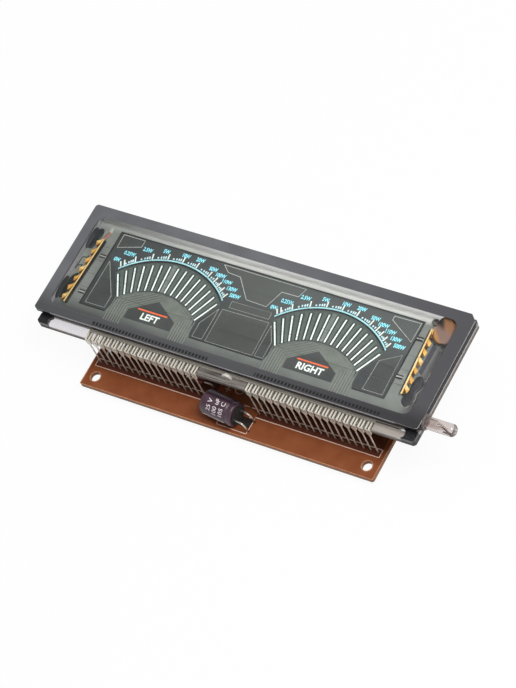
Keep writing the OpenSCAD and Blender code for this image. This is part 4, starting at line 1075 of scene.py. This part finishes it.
def fork_lead():
    """One lead about its own place on the row, with the board's underside at zero height."""
    form = bmesh.new()
    half = strip_thick / 2
    top, low = glass_top + half + seat_gap, glass_low - half - seat_gap
    bend = [radians(18 * i) for i in range(6)]
    over = [(bend_r - bend_r * cos(a), top - bend_r + bend_r * sin(a)) for a in bend]
    curl = [(curl_y + curl_r * sin(a), top + curl_r - curl_r * cos(a)) for a in bend[:4]]
    for side in (-1, 1):
        ribbon(form, [(0, glass_low + heel_rise)] + over + curl, tine_w, side * tine_apart / 2)
    web_low, web_high = glass_low - web_drop, glass_top - web_in
    neck = web_low - neck_len
    flank = [(web_w / 2, web_high), (web_w / 2, web_low), (wire_w / 2, neck), (wire_w / 2, tip_z)]
    outline = [(-x, z) for x, z in flank] + flank[::-1]
    skin(form, [[form.verts.new((x * mm, y * mm, z * mm)) for x, z in outline] for y in (half, -half)])
    ribbon(form, [(y, low + z) for y, z in tongue], tongue_w, 0)
    return loose_mesh(form)


# One mesh set along a row of points.
row_of, given = growth_tree("row of one form", Form="Object")
form = add(row_of, "ObjectInfo", {"Object": given["Form"]}).outputs["Geometry"]
end_tree(row_of, given, add(row_of, "InstanceOnPoints", {"Points": given["Geometry"], "Instance": form}))


def row(name, mesh, steps, finish, stands_for):
    """One piece made of a mesh repeated at steps of the lead row."""
    source = bpy.data.objects.new("source", mesh)
    scene.collection.objects.link(source)
    points = at(0, *[(s * lead_pitch, lead_y) for s in steps])
    whole = grown(points, [], row_of, {"Form": source, "Finish": finish})
    bpy.data.objects.remove(source)
    new_piece(name, whole, finish, stands_for)


# Tinned strip is pale and creamy with bright bends; the contact paste under it is dull olive.
strip_metal = mottled("tinned spring strip", "#d8d1c2", "#f2ece0", 2.5, (0.2, 0.32), metallic=0.3)
contact = mottled("fired contact paste", "#403d2d", "#59553e", 0.7, (0.45, 0.6), metallic=0.2)
lead_form = fork_lead()
left_bank, right_bank = lead_steps[:17], lead_steps[24:]
row("left_lead_bank_forks", lead_form, left_bank, strip_metal, ["left_lead_bank"])
row("right_lead_bank_forks", lead_form, right_bank, strip_metal, ["right_lead_bank"])
pad_half, pad_front = 1.0, lead_y + ledge_in
contact_xs = [s * lead_pitch for s in left_bank + right_bank]
contacts = [oblong(x - pad_half, x + pad_half, pad_front, ledge_back) for x in contact_xs]
sheet("contact_pads", contacts, rear_high.z + seat_lift * mm, contact)

# Solder: tin and lead, drawn up each lead on the copper side as it was dipped or touched with
# an iron. It sets as a concave cone and stays bright, with soft reflections.
cone_low, cone_top, cone_tall = 0.65, 0.30, 1.1
solder_form = [(cone_top + cone_low * (1 - i / 8) ** 2.2, cone_tall * i / 8) for i in range(9)]
solder_cone = turned(solder_form, Matrix.Rotation(radians(90), 4, "Y"), 20)
solder = mottled("tin lead solder", "#9a9c9e", "#c6c8ca", 0.5, (0.15, 0.3), metallic=1.0)
row("solder_cones", solder_cone, left_bank + right_bank, solder, ["lead_solder"])

# Studio: a plain white floor that keeps the object's shadow, a white room that is dimmer
# overhead where the glass mirrors it, and one soft lamp high on the right, out of the way of
# the glass's mirror in most views.
floor_half, paper_white = 1500, 0.94
floor_plan = oblong(-floor_half, floor_half, -floor_half, floor_half)
floor_mesh = bpy.data.meshes.new("floor")
floor_mesh.from_pydata(at(cad_box[0][2], *floor_plan), [], [(0, 1, 2, 3)])
floor = bpy.data.objects.new("floor", floor_mesh)
scene.collection.objects.link(floor)
# Paper: white to the camera, in mirrors and through glass, and matte grey to the lamp.
paper, tree = blank("white paper floor")
path = add(tree, "LightPath").outputs
seen = add(tree, "Math", {0: path["Is Camera Ray"], 1: path["Is Glossy Ray"]}, operation="MAXIMUM")
seen = add(tree, "Math", {0: seen, 1: path["Is Transmission Ray"]}, operation="MAXIMUM")
share = add(tree, "Math", {0: seen, 1: paper_white}, operation="MULTIPLY")
matte = add(tree, "BsdfDiffuse", {"Color": linear("#d8d8d8")})
white = add(tree, "Emission", {"Color": (1, 1, 1, 1), "Strength": 1.0})
add(tree, "OutputMaterial", {"Surface": add(tree, "MixShader", {0: share, 1: matte, 2: white})})
floor_mesh.materials.append(paper)

world = bpy.data.worlds.new("studio")
scene.world = world
world.use_nodes = True
tree = world.node_tree
tree.nodes.clear()
path = add(tree, "LightPath").outputs
sky = add(tree, "SeparateXYZ", {0: add(tree, "TexCoord").outputs["Generated"]}).outputs
labels = ("From Min", "From Max", "To Min", "To Max")
mirrored, glare, lit_above, lit_behind = (
    add(tree, "MapRange", {"Value": sky[axis], **dict(zip(labels, ends))})
    for axis, *ends in (("Z", 0.2, 0.7, 1.0, 0.12), ("Z", 0.76, 0.84, 0.0, 0.3),
                        ("Z", 0.25, 0.85, 0.05, 1.1), ("Y", -0.6, 0.6, 0.2, 1.7)))
mirrored = add(tree, "Math", {0: mirrored, 1: glare}, operation="ADD")
lighting = add(tree, "Math", {0: lit_above, 1: lit_behind}, operation="MULTIPLY")
level = add(tree, "Mix", {0: path["Is Diffuse Ray"], 2: mirrored, 3: lighting}, data_type="FLOAT")
level = add(tree, "Mix", {0: path["Is Camera Ray"], 2: level, 3: 1.0}, data_type="FLOAT")
room = add(tree, "Background", {"Color": (1, 1, 1, 1), "Strength": level})
add(tree, "OutputWorld", {"Surface": room})

key = bpy.data.lights.new("key", "AREA")
key.shape = "DISK"
key.size = 0.45
key.energy = 6.8
key_lamp = bpy.data.objects.new("key", key)
key_lamp.location = (0.46, 0.05, 0.84)
key_lamp.rotation_euler = (-key_lamp.location).to_track_quat("-Z", "Y").to_euler()
scene.collection.objects.link(key_lamp)

# Camera: a long lens from the front right, above the face, turned so that the display
# runs down to the right across an upright picture.
camera = bpy.data.cameras.new("camera")
camera.sensor_fit = "VERTICAL"
camera.sensor_height = 36.0
camera.lens = 145.8
camera.clip_start = 0.05
place = Vector((414.9, -324.1, 711.8)) * mm
aim = Vector((6.27, 1.10, 19.2)) * mm
roll = radians(-27.79)
upright = (aim - place).to_track_quat("-Z", "Y").to_matrix().to_4x4()
view = bpy.data.objects.new("camera", camera)
view.matrix_world = Matrix.Translation(place) @ upright @ Matrix.Rotation(roll, 4, "Z")
scene.collection.objects.link(view)
scene.camera = view

scene.view_settings.view_transform = "Standard"
